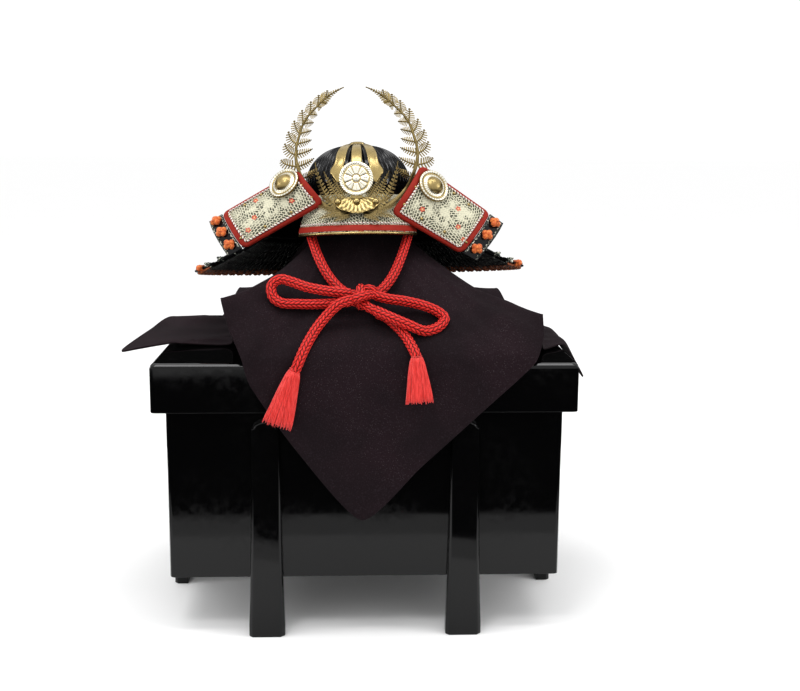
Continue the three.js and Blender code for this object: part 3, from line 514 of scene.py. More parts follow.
@once
def bowl_lacquer(name):
    """Black lacquer on iron: satin, with a faint blue-grey bloom."""
    material, tree, shader = new_material(name, Specular_IOR_Level=0.35)
    place = place_of(tree)
    dull = patches(tree, place, 60.0, 0.5)
    feed(tree, shader,
         Base_Color=blend(tree, dull, (0.003, 0.003, 0.004), (0.016, 0.018, 0.024)),
         Roughness=calc(tree, "MULTIPLY_ADD", dull, 0.15, 0.10))
    bump(tree, shader, noise(tree, place, 900.0, 2.0), 0.00006, 0.5)
    return material


def gilt(name, colour, shadow, roughness):
    """Gilt metal: darker and rougher in tarnished patches, with fine hammer marks."""
    material, tree, shader = new_material(name, Metallic=1.0)
    place = place_of(tree)
    tarnish = patches(tree, place, 170.0, 0.75)
    feed(tree, shader,
         Base_Color=blend(tree, tarnish, colour, shadow),
         Roughness=calc(tree, "MULTIPLY_ADD", tarnish, 0.2, roughness))
    bump(tree, shader, noise(tree, place, 1400.0, 2.0), 0.00008, 0.5)
    return material


@once
def brass_gold(name, colour):
    """Brassy gold of the bands, rings, rims and studs."""
    return gilt(name, colour, shade(colour, 0.55), 0.26)


def relief_gilt(name, low, high, roughness):
    """Chased metal: one colour in the grooves and another where the relief attribute is high."""
    material, tree, shader = new_material(name, Metallic=1.0)
    place = place_of(tree)
    tarnish = patches(tree, place, 150.0, 0.3)
    ground = blend(tree, mask(tree, attribute(tree, "relief"), 0.25, 0.6), low, high)
    feed(tree, shader,
         Base_Color=blend(tree, tarnish, ground, low),
         Roughness=calc(tree, "MULTIPLY_ADD", tarnish, 0.3, roughness))
    bump(tree, shader, noise(tree, place, 1400.0, 2.0), 0.00006, 0.4)
    return material


@once
def disc_gold(name, colour):
    """Very pale gold of the disc, deeper in its grooves."""
    return relief_gilt(name, (0.64, 0.52, 0.26), colour, 0.3)


@once
def bracket_gold(name, colour):
    """Brassy gold of the bracket, brown in its grooves."""
    return relief_gilt(name, shade(colour, 0.35), colour, 0.25)


@once
def fern_gold(name, colour):
    """Duller gold of the thin fern leaves."""
    return gilt(name, shade(colour, 0.58), shade(colour, 0.30), 0.42)


@once
def medallion_gold(name, colour):
    """Gold and silver rings of a medallion; the relief attribute says which."""
    return relief_gilt(name, shade(colour, 0.8), (0.80, 0.78, 0.68), 0.34)


def silk_bump(tree, shader, place, height, distance):
    """Fine threads along the silk's stitches or strands."""
    threads = use_group(tree, thread_group(), Vector=place, Across=height, Scale=40.0)
    bump(tree, shader, threads, distance, 0.6)


@once
def silk_cord(name, colour):
    """Braided silk: painted shade between the stitches, a painted highlight along their crowns, with fine
    threads.
    """
    material, tree, shader = new_material(
        name, Roughness=0.42, Specular_IOR_Level=0.3, Sheen_Weight=0.08, Sheen_Roughness=0.4)
    place = place_of(tree)
    height = attribute(tree, "stitch_height")
    uneven = noise(tree, place, 500.0, 2.0)
    # Painted highlight: the stitches' crowns are brightened in uneven patches, to 1.4 times the colour.
    crown_highlight = calc(tree, "MULTIPLY", mask(tree, height, 0.55, 1.0), uneven)
    # Painted shade: between the stitches the colour falls to 6 % of the silk's.
    ground = blend(tree, mask(tree, height, 0.12, 0.65), shade(colour, 0.06), colour)
    feed(tree, shader, Base_Color=blend(tree, crown_highlight, ground, shade(colour, 1.4, 0.03)))
    silk_bump(tree, shader, place, height, 0.00012)
    return material


@once
def tassel_silk(name, colour):
    """Loose silk strands: brighter than the braid, uneven along their length, and softly shiny. The core under
    them carries painted shade.
    """
    material, tree, shader = new_material(name, Roughness=0.38, Sheen_Weight=0.2)
    place = place_of(tree)
    height = attribute(tree, "stitch_height")
    drawn = node(tree, "ShaderNodeMapping", Vector=place, Scale=(1.0, 1.0, 0.12))
    uneven = noise(tree, drawn.outputs[0], 900.0, 3.0)
    # Painted shade: the grooved core under the strands is a quarter as bright as the silk.
    ground = blend(tree, mask(tree, height, 0.0, 0.5), shade(colour, 0.25), colour)
    feed(tree, shader,
         Base_Color=blend(tree, mask(tree, uneven, 0.35, 0.65), ground, shade(colour, 1.3, 0.03)))
    silk_bump(tree, shader, place, height, 0.00015)
    return material


@once
def crepe_cloth(name, colour):
    """Dark crepe: pebbled weave, folds a little browner, and sparse light specks."""
    material, tree, shader = new_material(
        name, Roughness=0.85, Specular_IOR_Level=0.06, Sheen_Weight=0.02, Sheen_Roughness=0.5)
    place = place_of(tree)
    broad = noise(tree, place, 18.0, 3.0)
    fine = noise(tree, place, 900.0, 3.0)
    cells = node(tree, "ShaderNodeTexVoronoi", {"feature": "F1"}, Vector=place, Scale=620.0)
    specks = cells.outputs["Distance"]
    warm = (colour[0] * 1.35, colour[1] * 1.2, colour[2] * 1.25)
    pebbles = calc(tree, "MULTIPLY", mask(tree, fine, 0.5, 0.75), 0.5)
    light = calc(tree, "MULTIPLY", mask(tree, specks, 0.16, 0.08), mask(tree, broad, 0.4, 0.62))
    ground = blend(tree, mask(tree, broad, 0.35, 0.7), colour, warm)
    ground = blend(tree, pebbles, ground, (0.040, 0.031, 0.037))
    ground = blend(tree, calc(tree, "MULTIPLY", light, 0.35), ground, (0.30, 0.27, 0.27))
    feed(tree, shader, Base_Color=ground)
    bump(tree, shader, fine, 0.0005, 0.8)
    return material


def flower_mask(tree, lay, scale, petals, size):
    """Flowers at the middles of random cells: distance from the middle, less a petal wave round it."""
    cells = node(tree, "ShaderNodeTexVoronoi", {"feature": "F1", "voronoi_dimensions": "2D"}, Vector=lay,
                 Scale=scale, Randomness=0.75)
    offset = node(tree, "ShaderNodeVectorMath", {"operation": "SUBTRACT"})
    put(tree, offset.inputs[0], lay)
    put(tree, offset.inputs[1], cells.outputs["Position"])
    x, y, _ = parts_of(tree, offset.outputs[0])
    turn = calc(tree, "ARCTAN2", y, x)
    wave = calc(tree, "COSINE", calc(tree, "MULTIPLY", turn, float(petals)))
    edge = calc(tree, "MULTIPLY_ADD", wave, size * 0.22, size)
    away = calc(tree, "DIVIDE", cells.outputs["Distance"], scale)
    petal = mask(tree, calc(tree, "SUBTRACT", away, edge), 0.25, -0.25)
    heart = mask(tree, away, size * 0.45, size * 0.25)
    return petal, heart


def dash_mask(tree, lay, angle):
    """Swaying rows of short dashes turned by an angle: rows 2.2 mm apart, a dash every 3.7 mm, and each
    row shifted by 0.43 of that."""
    turned = node(tree, "ShaderNodeVectorRotate", {"rotation_type": "Z_AXIS"}, Vector=lay, Angle=angle)
    x, y, _ = parts_of(tree, turned.outputs[0])
    sway = calc(tree, "MULTIPLY", noise(tree, lay, 0.06, 1.0), 5.0)
    rows = calc(tree, "DIVIDE", calc(tree, "ADD", y, sway), 2.2)
    in_row = from_middle(tree, rows)
    shift = calc(tree, "MULTIPLY", calc(tree, "FLOOR", rows), 0.43)
    in_dash = from_middle(tree, calc(tree, "ADD", calc(tree, "DIVIDE", x, 3.7), shift))
    return calc(tree, "MULTIPLY", mask(tree, in_row, 0.39, 0.32), mask(tree, in_dash, 0.43, 0.37))


def from_middle(tree, value):
    """How far the value is from the middle between two whole numbers: 0 there, 0.5 at a whole number."""
    return calc(tree, "ABSOLUTE", calc(tree, "SUBTRACT", calc(tree, "FRACT", value), 0.5))


def three_ways(tree, lay):
    """Dashes in one of three directions, picked for each cell about 8 mm wide."""
    cells = node(tree, "ShaderNodeTexVoronoi", {"feature": "F1", "voronoi_dimensions": "2D"},
                 Vector=lay, Scale=0.13)
    pick = node(tree, "ShaderNodeSeparateColor", Color=cells.outputs["Color"]).outputs[0]
    between = calc(tree, "MULTIPLY", mask(tree, pick, 0.33, 0.36), mask(tree, pick, 0.68, 0.65))
    first = calc(tree, "MULTIPLY", dash_mask(tree, lay, 0.35), mask(tree, pick, 0.36, 0.33))
    second = calc(tree, "MULTIPLY", dash_mask(tree, lay, 1.35), between)
    third = calc(tree, "MULTIPLY", dash_mask(tree, lay, -0.75), mask(tree, pick, 0.65, 0.68))
    return calc(tree, "MAXIMUM", first, calc(tree, "MAXIMUM", second, third))


@once
def printed_leather(name, ground):
    """Cream leather with short dark dashes, fainter in parts of the middle, and a few red flowers."""
    material, tree, shader = new_material(name, Roughness=0.6, Specular_IOR_Level=0.3)
    lay = attribute(tree, "lay", "Vector")
    near_border = parts_of(tree, lay)[2]
    clouds = mask(tree, noise(tree, lay, 0.10, 2.0), 0.44, 0.56, 0.20, 1.0)
    strong = calc(tree, "MAXIMUM", clouds, near_border)
    dash = calc(tree, "MULTIPLY", three_ways(tree, lay), strong)
    petal, heart = flower_mask(tree, lay, 0.030, 5, 2.3)
    base = blend(tree, noise(tree, lay, 0.25, 3.0), shade(ground, 0.86), ground)
    base = blend(tree, calc(tree, "MULTIPLY", dash, 0.93), base, (0.020, 0.022, 0.012))
    base = blend(tree, calc(tree, "MULTIPLY", petal, 0.8), base, (0.55, 0.06, 0.03))
    feed(tree, shader, Base_Color=blend(tree, heart, base, (0.62, 0.44, 0.20)))
    bump(tree, shader, use_group(tree, grain_group(), Vector=place_of(tree), Scale=900.0), 0.0002, 0.5)
    return material


@once
def red_leather(name, colour):
    """Brick-red leather with a fine grain, worn paler here and there."""
    material, tree, shader = new_material(name, Roughness=0.6, Specular_IOR_Level=0.2)
    place = place_of(tree)
    worn = patches(tree, place, 120.0, 0.45)
    feed(tree, shader, Base_Color=blend(tree, worn, colour, shade(colour, 1.35, 0.012)))
    bump(tree, shader, use_group(tree, grain_group(), Vector=place, Scale=1100.0), 0.0002, 0.6)
    return material


@once
def twisted_thread(name):
    """Thread twisted from white, pink and dark plies: stripes of length / 3.2 mm plus the turn."""
    material, tree, shader = new_material(name, Roughness=0.7)
    length, turn, _ = parts_of(tree, attribute(tree, "lay", "Vector"))
    stripe = calc(tree, "FRACT", calc(tree, "ADD", calc(tree, "DIVIDE", length, 3.2), turn))
    colour = blend(tree, mask(tree, stripe, 0.55, 0.60), (0.80, 0.77, 0.70), (0.42, 0.12, 0.09))
    feed(tree, shader,
         Base_Color=blend(tree, mask(tree, stripe, 0.76, 0.80), colour, (0.035, 0.03, 0.03)))
    wave = calc(tree, "ABSOLUTE", calc(tree, "SINE", calc(tree, "MULTIPLY", stripe, 3.0 * math.pi)))
    bump(tree, shader, wave, 0.0003, 0.7)
    return material


def lacing(name, dark, pale, share):
    """Lacing silk: two colours in uneven fine runs, matt, with a thread-like bump."""
    material, tree, shader = new_material(name, Roughness=0.6, Sheen_Weight=0.2)
    place = place_of(tree)
    runs = mask(tree, noise(tree, place, 700.0, 2.0), share, share + 0.08)
    feed(tree, shader, Base_Color=blend(tree, runs, dark, pale))
    bump(tree, shader, noise(tree, place, 1800.0, 2.0), 0.0003, 0.6)
    return material


@once
def dark_lacing(name):
    """Blue-black lacing of the neck guard; its pale runs are painted highlights."""
    return lacing(name, (0.006, 0.008, 0.008), (0.17, 0.18, 0.16), 0.56)


@once
def orange_lacing(name):
    """Orange lacing of the knots."""
    return lacing(name, (0.50, 0.095, 0.012), (0.72, 0.22, 0.04), 0.5)


@once
def brown_lacing(name):
    """Lacing of the hem: the orange lacing painted dark orange-brown, as painted shade."""
    return lacing(name, (0.20, 0.050, 0.016), (0.42, 0.12, 0.03), 0.5)


@once
def speckled_lacing(name):
    """Dark green cord flecked with white."""
    return lacing(name, (0.012, 0.022, 0.014), (0.62, 0.62, 0.52), 0.52)


@once
def post_wood(name):
    """Plain pale wood: long grain lines from stretched noise."""
    material, tree, shader = new_material(name, Roughness=0.65)
    place = node(tree, "ShaderNodeMapping", Vector=place_of(tree), Scale=(1.0, 1.0, 0.08))
    rings = noise(tree, place.outputs[0], 260.0, 4.0)
    wood = blend(tree, mask(tree, rings, 0.35, 0.65), (0.46, 0.29, 0.15), (0.62, 0.43, 0.25))
    feed(tree, shader, Base_Color=wood)
    bump(tree, shader, rings, 0.0003, 0.4)
    return material


class HELMET_OT_stage(Operator):
    """Camera, lights and a plain pale floor."""
    bl_idname = "helmet.stage"
    bl_label = "Stage"

    def execute(self, context):
        settings = context.scene.helmet_stage
        make_camera(settings)
        make_lights(context.scene, settings)
        make_floor(settings)
        return {"FINISHED"}


CAMERA_TURN, CAMERA_TIP, CAMERA_ROLL = -0.047, 0.173, 0.007


def make_camera(settings):
    """Camera: turned 2.7 degrees about z, tipped 9.9 degrees down, rolled 0.4 degrees."""
    data = bpy.data.cameras.new("camera")
    data.lens = settings.lens
    data.sensor_width = 36.0
    camera = bpy.data.objects.new("camera", data)
    camera.matrix_world = (
        Matrix.Translation(settings.camera_place)
        @ Matrix.Rotation(CAMERA_TURN, 4, "Z")
        @ Matrix.Rotation(math.pi / 2 - CAMERA_TIP, 4, "X")
        @ Matrix.Rotation(CAMERA_ROLL, 4, "Z"))
    bpy.context.scene.collection.objects.link(camera)
    bpy.context.scene.camera = camera


def make_sky(scene, light):
    """White sky. What mirrors it finds it dark low down at the back and the sides."""
    world = bpy.data.worlds.new("studio")
    world.use_nodes = True
    tree = world.node_tree
    _, y, z = parts_of(tree, place_of(tree))
    low = calc(tree, "MULTIPLY", mask(tree, z, 0.42, 0.3), mask(tree, y, -0.5, -0.2))
    dark = calc(tree, "MULTIPLY", low, mirrored(tree))
    colour = blend(tree, dark, (1.0, 1.0, 1.0), (0.01, 0.01, 0.01))
    feed(tree, tree.nodes["Background"], Color=colour, Strength=light)
    scene.world = world


def mirrored(tree):
    """1 where a glossy surface looks at this one, 0 for the camera and for soft light."""
    return tree.nodes.new("ShaderNodeLightPath").outputs["Is Glossy Ray"]


def make_lights(scene, settings):
    """Sky, a soft box above and in front, a long strip overhead, and a lamp on each side."""
    make_sky(scene, settings.light)
    scene.view_settings.view_transform = "Standard"
    scene.view_settings.look = "Medium High Contrast"
    boxes = (
        ("soft_box", (-0.4, -1.0, 1.7), (0.4, 0.4), 4.0),
        ("overhead", (0.0, -0.3, 1.7), (1.8, 0.3), 8.0),
        ("lamp_left", (-1.5, -0.3, 0.8), (0.4, 0.4), 3.5),
        ("lamp_right", (1.5, -0.5, 0.9), (0.4, 0.4), 3.5),
    )
    for name, place, size, power in boxes:
        data = bpy.data.lights.new(name, "AREA")
        data.shape = "RECTANGLE"
        data.size, data.size_y = size
        data.energy = power
        lamp = bpy.data.objects.new(name, data)
        lamp.location = place
        aim = Vector((0.0, 0.0, 0.25)) - Vector(place)
        lamp.rotation_euler = aim.to_track_quat("-Z", "Y").to_euler()
        scene.collection.objects.link(lamp)


def floor_paper(floor_colour):
    """Pale paper. In mirrors it is a little darker from 0.38 m out, and black from 0.45 m to 1.5 m."""
    material, tree, shader = new_material("floor_paper", Roughness=0.9, Specular_IOR_Level=0.0)
    place = place_of(tree)
    x, y, _ = parts_of(tree, place)
    away = calc(tree, "MAXIMUM", calc(tree, "ABSOLUTE", x), calc(tree, "ABSOLUTE", y))
    dark = calc(tree, "MAXIMUM", mask(tree, away, 0.445, 0.455),
                mask(tree, away, 0.375, 0.385, 0.0, 0.28))
    near = calc(tree, "MULTIPLY", mask(tree, away, 1.65, 1.5), mirrored(tree))
    dark = calc(tree, "MULTIPLY", dark, near)
    colour = blend(tree, noise(tree, place, 3.0, 2.0), shade(floor_colour, 0.985), floor_colour)
    feed(tree, shader, Base_Color=blend(tree, dark, colour, (0.02, 0.02, 0.02)))
    return material


def make_floor(settings):
    """Flat floor: a grid of points 60 m wide at height 0."""
    side = np.linspace(-30, 30, 9)
    points = points_of(side[None], side[:, None], 0.0)
    mesh = bpy.data.meshes.new("floor")
    mesh.from_pydata(points.reshape(-1, 3).tolist(), [], grid_faces(9, 9).tolist())
    mesh.materials.append(floor_paper(settings.floor_colour))
    floor = bpy.data.objects.new("floor", mesh)
    bpy.context.scene.collection.objects.link(floor)


CHIN_CORD = [
    (-15, -100, 53), (-24, -94, 59), (-33, -85, 69), (-41, -73, 83), (-46, -58, 95), (-49, -42, 102),
    (-51, -28, 104), (-53.5, -12, 105.5), (-54.5, 5, 105.5), (-48, 26, 105.5), (-33, 42, 105.5),
    (-14, 49.8, 105.5), (8, 48.8, 105.5), (27, 39, 105.5), (40, 22, 105.5), (44.5, 1, 105.5),
    (43.5, -15, 105), (41.5, -29, 104), (40, -43, 102), (37, -58, 95), (32, -73, 83), (25, -85, 69),
    (17, -94, 59), (9, -100, 53)]
LOOP_LEFT = [(-11.2, -110, 55), (-31, -109, 57), (-50, -105, 60), (-63, -101, 64), (-73, -100, 66),
             (-80, -101, 61), (-79, -105, 52), (-72, -108, 47), (-57, -109, 46), (-38, -109, 46),
             (-11.2, -109, 48)]
LOOP_RIGHT = [
    (6.2, -110, 54), (19, -112, 51), (33, -112, 49), (50, -113, 45), (62, -115, 40), (67, -118, 35),
    (62, -124, 29), (50, -129, 26), (35, -132, 32), (20, -129, 38), (6.2, -121.5, 43)]
TAIL_LEFT = [
    (-10, -121, 52), (-22, -122, 48), (-33, -124, 38), (-43, -131, 26), (-51, -142, 13), (-56, -148, 2),
    (-60, -148.5, -8)]
TAIL_RIGHT = [
    (8, -113, 39), (17, -117, 36), (25, -122, 30), (33, -131.5, 22), (38.5, -140.5, 14), (41, -145.5, 9),
    (42, -147.5, 5)]
KNOT_TURNS = [[(-4, -102, 57), (-4, -107.5, 59.4), (-4.3, -112.5, 57), (-5, -114.2, 51),
               (-4.5, -112, 45.5), (-3, -105, 44)],
              [(-12, -121.4, 51.2), (-6, -121.3, 53.4), (-0.5, -118.6, 54.8), (4, -114, 54.8),
               (8, -110.8, 54)],
              [(8.5, -122, 42), (3, -119.8, 44.2), (-2, -115.5, 46.8), (-7, -110.5, 48.4)],
              [(-14, -110, 55), (-8, -110, 54), (-3, -108, 52.5), (3, -106, 51.5)],
              [(-14, -109, 48), (-8, -108.5, 48), (-2, -107, 48.5), (4, -105, 49)],
              [(-1, -105.5, 56.5), (2.2, -108.6, 58.9), (6, -108.6, 57.8), (8.6, -104, 54.2)]]


def moving_frames(path):
    """Two directions across a path that turn with it and never twist: each is the last one, less its part
    along the path."""
    along = np.gradient(path, axis=0)
    along /= np.linalg.norm(along, axis=1, keepdims=True)
    across = np.empty_like(path)
    start = np.cross(along[0], (0.0, 0.0, 1.0))
    across[0] = start / np.linalg.norm(start)
    for k in range(1, len(path)):
        step = across[k - 1] - along[k] * (across[k - 1] @ along[k])
        across[k] = step / np.linalg.norm(step)
    return along, across, np.cross(along, across)


def braid_shape(path, radius, settings):
    """Braided tube: the turn is split into columns, and each column into stitches that lean left and
    right by turns. Radius = radius * (0.77 + 0.23 height), height = rounded across the column times
    rounded along the stitch. Millimetres in, shape and heights out."""
    sides = settings.columns * 7
    stitch = settings.stitch / MM
    along, across, third = moving_frames(path)
    run = run_of(path)[:, None]
    turn = turns(sides)[None]
    column = turn / (2 * math.pi) * settings.columns
    number = np.floor(column)
    side = column - number - 0.5
    lean = np.where(number % 2 == 0, 1.0, -1.0)
    phase = run / stitch + lean * side * 0.9 + 0.5 * (number % 2)
    wave = np.abs(np.sin(math.pi * phase))
    height = np.clip(1 - (2 * side) ** 2, 0, 1) ** 0.4 * (0.05 + 0.95 * wave ** 0.75)
    ends = np.minimum(run, run[-1] - run)
    close = np.sqrt(np.clip(ends / (radius * 0.5), 0.03, 1))
    size = radius * (0.77 + 0.23 * height) * close
    points = (path[:, None] + across[:, None] * (np.cos(turn) * size)[..., None]
              + third[:, None] * (np.sin(turn) * size)[..., None])
    rows = len(path)
    heights = np.broadcast_to(height, (rows, sides)).ravel()
    return (points.reshape(-1, 3), ring_faces(rows, sides)), heights


CORD_STEP = 0.55
KNOT_RADIUS = 4.1


def cord_piece(name, route, settings, **facts):
    """One free cord of braid on its route."""
    path = curve_through(route, step=CORD_STEP)
    radius = settings.diameter / MM / 2
    shape, height = braid_shape(path, radius, settings)
    shape = (above_lid(shape[0]), shape[1])
    piece = make_piece(name, shape, silk_cord(settings.colour), "red_cord", [name.removesuffix("_braid")],
                       stitch_height=height)
    return piece


def tassel_shape(top, foot, width, depth, settings, seed):
    """Tassel: a grooved core that widens from the cord to the foot, and loose strands over it. Half
    width at t is 4.7 + (width / 2 - 4.7) t to the 0.75. Strands run down it, each a little outside the
    core and uneven."""
    rng = np.random.default_rng(seed)
    top, foot = np.asarray(top, float), np.asarray(foot, float)
    down = foot - top
    length = np.linalg.norm(down)
    down /= length
    across = np.cross(down, (0.0, -1.0, 0.0))
    across /= np.linalg.norm(across)
    front = np.cross(across, down)

    def surface(t, turn, out):
        grow = np.clip(t, 0, 1.1) ** 0.75
        half = 4.7 + (width / 2 - 4.7) * grow
        thick = 4.5 + (depth / 2 - 4.5) * grow
        return (top + down * (t * length)[..., None] + across * (np.cos(turn) * (half + out))[..., None]
                + front * (np.sin(turn) * (thick + out))[..., None])

    rows, sides = 34, 160
    t, turn = np.meshgrid(np.linspace(-0.04, 0.97, rows), turns(sides), indexing="ij")
    groove = -0.75 + 0.35 * np.sin(turn * 23 + 3 * t) + 0.2 * np.sin(turn * 47)
    core = surface(t, turn, groove)
    count = settings.strands
    start = rng.uniform(0, 2 * math.pi, count)[:, None]
    drift = rng.normal(0, 0.06, count)[:, None]
    reach = rng.uniform(0.9, 1.03, count)[:, None]
    lift = rng.uniform(-0.3, 0.35, count)[:, None]
    steps, strand_sides = 12, 5
    s = np.linspace(0, 1, steps)[None]
    wobble = 0.25 * np.sin(s * 7 + start * 5)
    sway = start + drift * s + 0.02 * np.sin(9 * s + start * 3)
    strand = surface(s * reach, sway, lift + wobble * s - 0.3)
    loose = tubes(strand, 0.42, strand_sides, up=tuple(front))
    shape = together([(core.reshape(-1, 3), ring_faces(rows, sides)), loose])
    bright = 0.55 + 0.45 * rng.random(count)[:, None]
    # The core's low heights become painted shade in the tassel's silk; the strands stay at full colour.
    height = [np.clip(0.75 + groove, 0, 1).ravel() * 0.7,
              np.broadcast_to(bright, (count, steps * strand_sides)).ravel()]
    return shape, np.concatenate(height)


def tassel_piece(name, node_name, top, foot, width, depth, settings, seed):
    """A tassel that replaces its solid."""
    shape, height = tassel_shape(top, foot, width, depth, settings, seed)
    return make_piece(name, (above_lid(shape[0]), shape[1]), tassel_silk(settings.colour), "red_cord",
                      [node_name], stitch_height=height)


class HELMET_OT_cords(Operator):
    """Chin cord, bow, knot, tails and tassels."""
    bl_idname = "helmet.cords"
    bl_label = "Cords"

    def execute(self, context):
        settings = context.scene.helmet_cord
        knots = [braid_shape(curve_through(turn, step=CORD_STEP), KNOT_RADIUS, settings)
                 for turn in KNOT_TURNS]
        shape = together([k[0] for k in knots])
        make_piece("bow_knot_braid", (above_lid(shape[0]), shape[1]), silk_cord(settings.colour),
                   "red_cord", ["bow_knot"], stitch_height=np.concatenate([k[1] for k in knots]))
        left = tassel_piece("tassel_left_silk", "tassel_left", (-59.3, -148.3, -4.5), (-74, -149.5, -50),
                            25, 12, settings, 3)
        right = tassel_piece("tassel_right_silk", "tassel_right", (41.9, -147.4, 6.5),
                             (44.5, -150.5, -31), 23, 11, settings, 5)
        cord_piece("chin_cord_braid", CHIN_CORD, settings, far_end="object", lay="hanging")
        cord_piece("bow_loop_left_braid", LOOP_LEFT, settings, far_end="object", lay="loose")
        cord_piece("bow_loop_right_braid", LOOP_RIGHT, settings, far_end="object", lay="loose")
        cord_piece("cord_tail_left_braid", TAIL_LEFT, settings, far_end="fitting", lay="hanging",
                   with_pieces=[left])
        cord_piece("cord_tail_right_braid", TAIL_RIGHT, settings, far_end="fitting", lay="hanging",
                   with_pieces=[right])
        return {"FINISHED"}


class HELMET_OT_chest(Operator):
    """Lacquer on the chest, its lid and its six legs, and wood on the hidden post."""
    bl_idname = "helmet.chest"
    bl_label = "Chest"

    def execute(self, context):
        lacquer = chest_lacquer()
        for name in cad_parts:
            if name.startswith(("chest_", "leg_")):
                dress_node(name, lacquer, 0.0009)
        dress_node("stand_post", post_wood(), 0.0006)
        return {"FINISHED"}


# Each row is one fold of the cloth: x, y and height of its level point, its bend and its hem, as shares
# of the lid's half width and half depth, and of the helmet's height above the lid.
FOLD_ROWS = [(-.01, -.8, .22, -.01, -1, .02, -.02, -1, -1), (.16, -.79, .23, .25, -1, .02, .26, -1, -.66),
             (.36, -.77, .25, .54, -1, .03, .56, -1, -.29),
             (.5, -.72, .28, .7, -1, .07, .78, -1.005, -.01),
             (.53, -.64, .33, .75, -.86, .21, .83, -.91, .14),
             (.54, -.47, .37, .71, -.64, .3, .84, -.79, .26),
             (.55, -.3, .05, .72, -.45, .02, .87, -.62, .015),
             (.65, -.12, .02, .985, -.3, .015, 1.005, -.4, 0), (.65, .02, .02, 1, 0, .015, 1.17, 0, -.3),
             (.65, .16, .02, .985, .22, .015, 1.005, .32, 0),
             (.55, .36, .05, .72, .48, .03, .86, .58, .03), (.5, .5, .28, .66, .66, .24, .78, .82, .22),
             (.46, .72, .24, .6, 1, .06, .68, 1.005, -.03), (.24, .8, .2, .36, 1, .02, .38, 1, -.49),
             (0, .82, .2, 0, 1, .02, 0, 1, -1), (-.24, .8, .2, -.36, 1, .02, -.38, 1, -.49),
             (-.46, .72, .24, -.6, 1, .06, -.68, 1.005, -.03),
             (-.5, .55, .28, -.62, .7, .24, -.7, .84, .22),
             (-.52, .42, .05, -.68, .5, .025, -.8, .62, .02),
             (-.62, .22, .08, -.86, .34, .08, -1.05, .43, .06),
             (-.64, .06, .05, -.98, .1, .03, -1.12, .14, .02),
             (-.62, -.12, .03, -.98, -.4, .02, -1.17, -.61, 0),
             (-.58, -.2, .03, -.8, -.32, .02, -.98, -.43, .02),
             (-.46, -.28, .04, -.56, -.35, .02, -.66, -.42, .015),
             (-.43, -.44, .46, -.54, -.64, .4, -.67, -.86, .37),
             (-.4, -.66, .36, -.54, -.87, .24, -.63, -.95, .2),
             (-.38, -.74, .27, -.53, -1, .09, -.57, -1.005, .02),
             (-.34, -.77, .25, -.49, -1, .03, -.53, -1, -.15),
             (-.18, -.79, .23, -.27, -1, .02, -.33, -1, -.54)]


# Half width and half depth of the lid, and the helmet's height above it, which the fold rows are shares
# of.
FOLD_SIZE = (181.05, 141.05, 137.0)
HEAD_RADIUS = 36.05


def cloth_grid(settings):
    """Cloth points (stations, rays, 3) in millimetres. Each ray runs from the crown over the head, down
    the neck and out along its fold row to the hem; between rows and between stations the table is a
    smooth curve."""
    rays = settings.rays
    at = np.arange(rays) * len(FOLD_ROWS) / rays
    row = table_curve(FOLD_ROWS, at, ease=0.62, closed=True)
    place = row.reshape(rays, 3, 3) * FOLD_SIZE + (0, 0, TOP + 1.4)
    head = np.array((-5.1, 1.0, TOP + 138.8))
    away = place[:, 0, :2] - head[:2]
    turn = np.arctan2(away[:, 1], away[:, 0])
    way = np.stack([np.cos(turn), np.sin(turn), np.zeros(rays)], axis=1)
    stations = [head + (0, 0, HEAD_RADIUS) + way * 0.05]
    for angle in np.radians((20, 42, 64, 88)):
        stations.append(head + way * HEAD_RADIUS * math.sin(angle)
                        + (0, 0, HEAD_RADIUS * math.cos(angle)))
    neck = head + way * 39 - (0, 0, 32)
    middle = (neck + place[:, 0]) / 2 - (0, 0, 4)
    stations += [neck, middle, place[:, 0], place[:, 1], place[:, 2]]
    share = np.concatenate([np.linspace(0, 4, 14)[:-1], np.linspace(4, 9, 76)])
    return table_curve(np.stack(stations), share, ease=0.66), share, turn


# A row of the cloth's grid that lies where the cloth spreads over the lid, used to tell its outside.
LEVEL_ROW = 40


def cloth_normals(grid):
    """Unit normals of the cloth: cross product of the two grid directions, turned outwards."""
    down = np.gradient(grid, axis=0)
    round_ = np.roll(grid, -1, axis=1) - np.roll(grid, 1, axis=1)
    out = np.cross(down, round_)
    out /= np.linalg.norm(out, axis=2, keepdims=True) + 1e-9
    return -out if out[LEVEL_ROW, :, 2].mean() < 0 else out


def cloth_shape(settings):
    """The cloth with its gathers: waves of 0.9 mm and 1.1 mm that fan out below the neck, lifted only
    outwards, and a hem 0.24 mm thicker. Points over the lid stay above it."""
    grid, share, turn = cloth_grid(settings)
    out = cloth_normals(grid)
    window = smooth_step(share, 4.6, 6.2) * (1 - smooth_step(share, 7.6, 8.6))
    wave = 0.5 + 0.5 * np.sin(turn * 41 + 1.5 * np.sin(turn * 7))
    soft = 0.5 + 0.5 * np.sin(turn * 17 + 2.0 * np.sin(turn * 3))
    lift = window[:, None] * (0.9 * wave + 1.1 * soft)[None]
    grid = grid + out * lift[..., None]
    over = (np.abs(grid[..., 0]) < 181) & (np.abs(grid[..., 1]) < 141)
    grid[..., 2] = np.where(over, np.maximum(grid[..., 2], TOP + 1.25), grid[..., 2])
    out = cloth_normals(grid)
    thick = settings.thickness / MM
    hem = smooth_step(share, 8.86, 8.92)[:, None, None] * 0.4
    front = grid + out * (thick * 0.35 + hem * 0.5)
    back = grid - out * (thick * 0.65 + hem * 0.1)
    return front, back


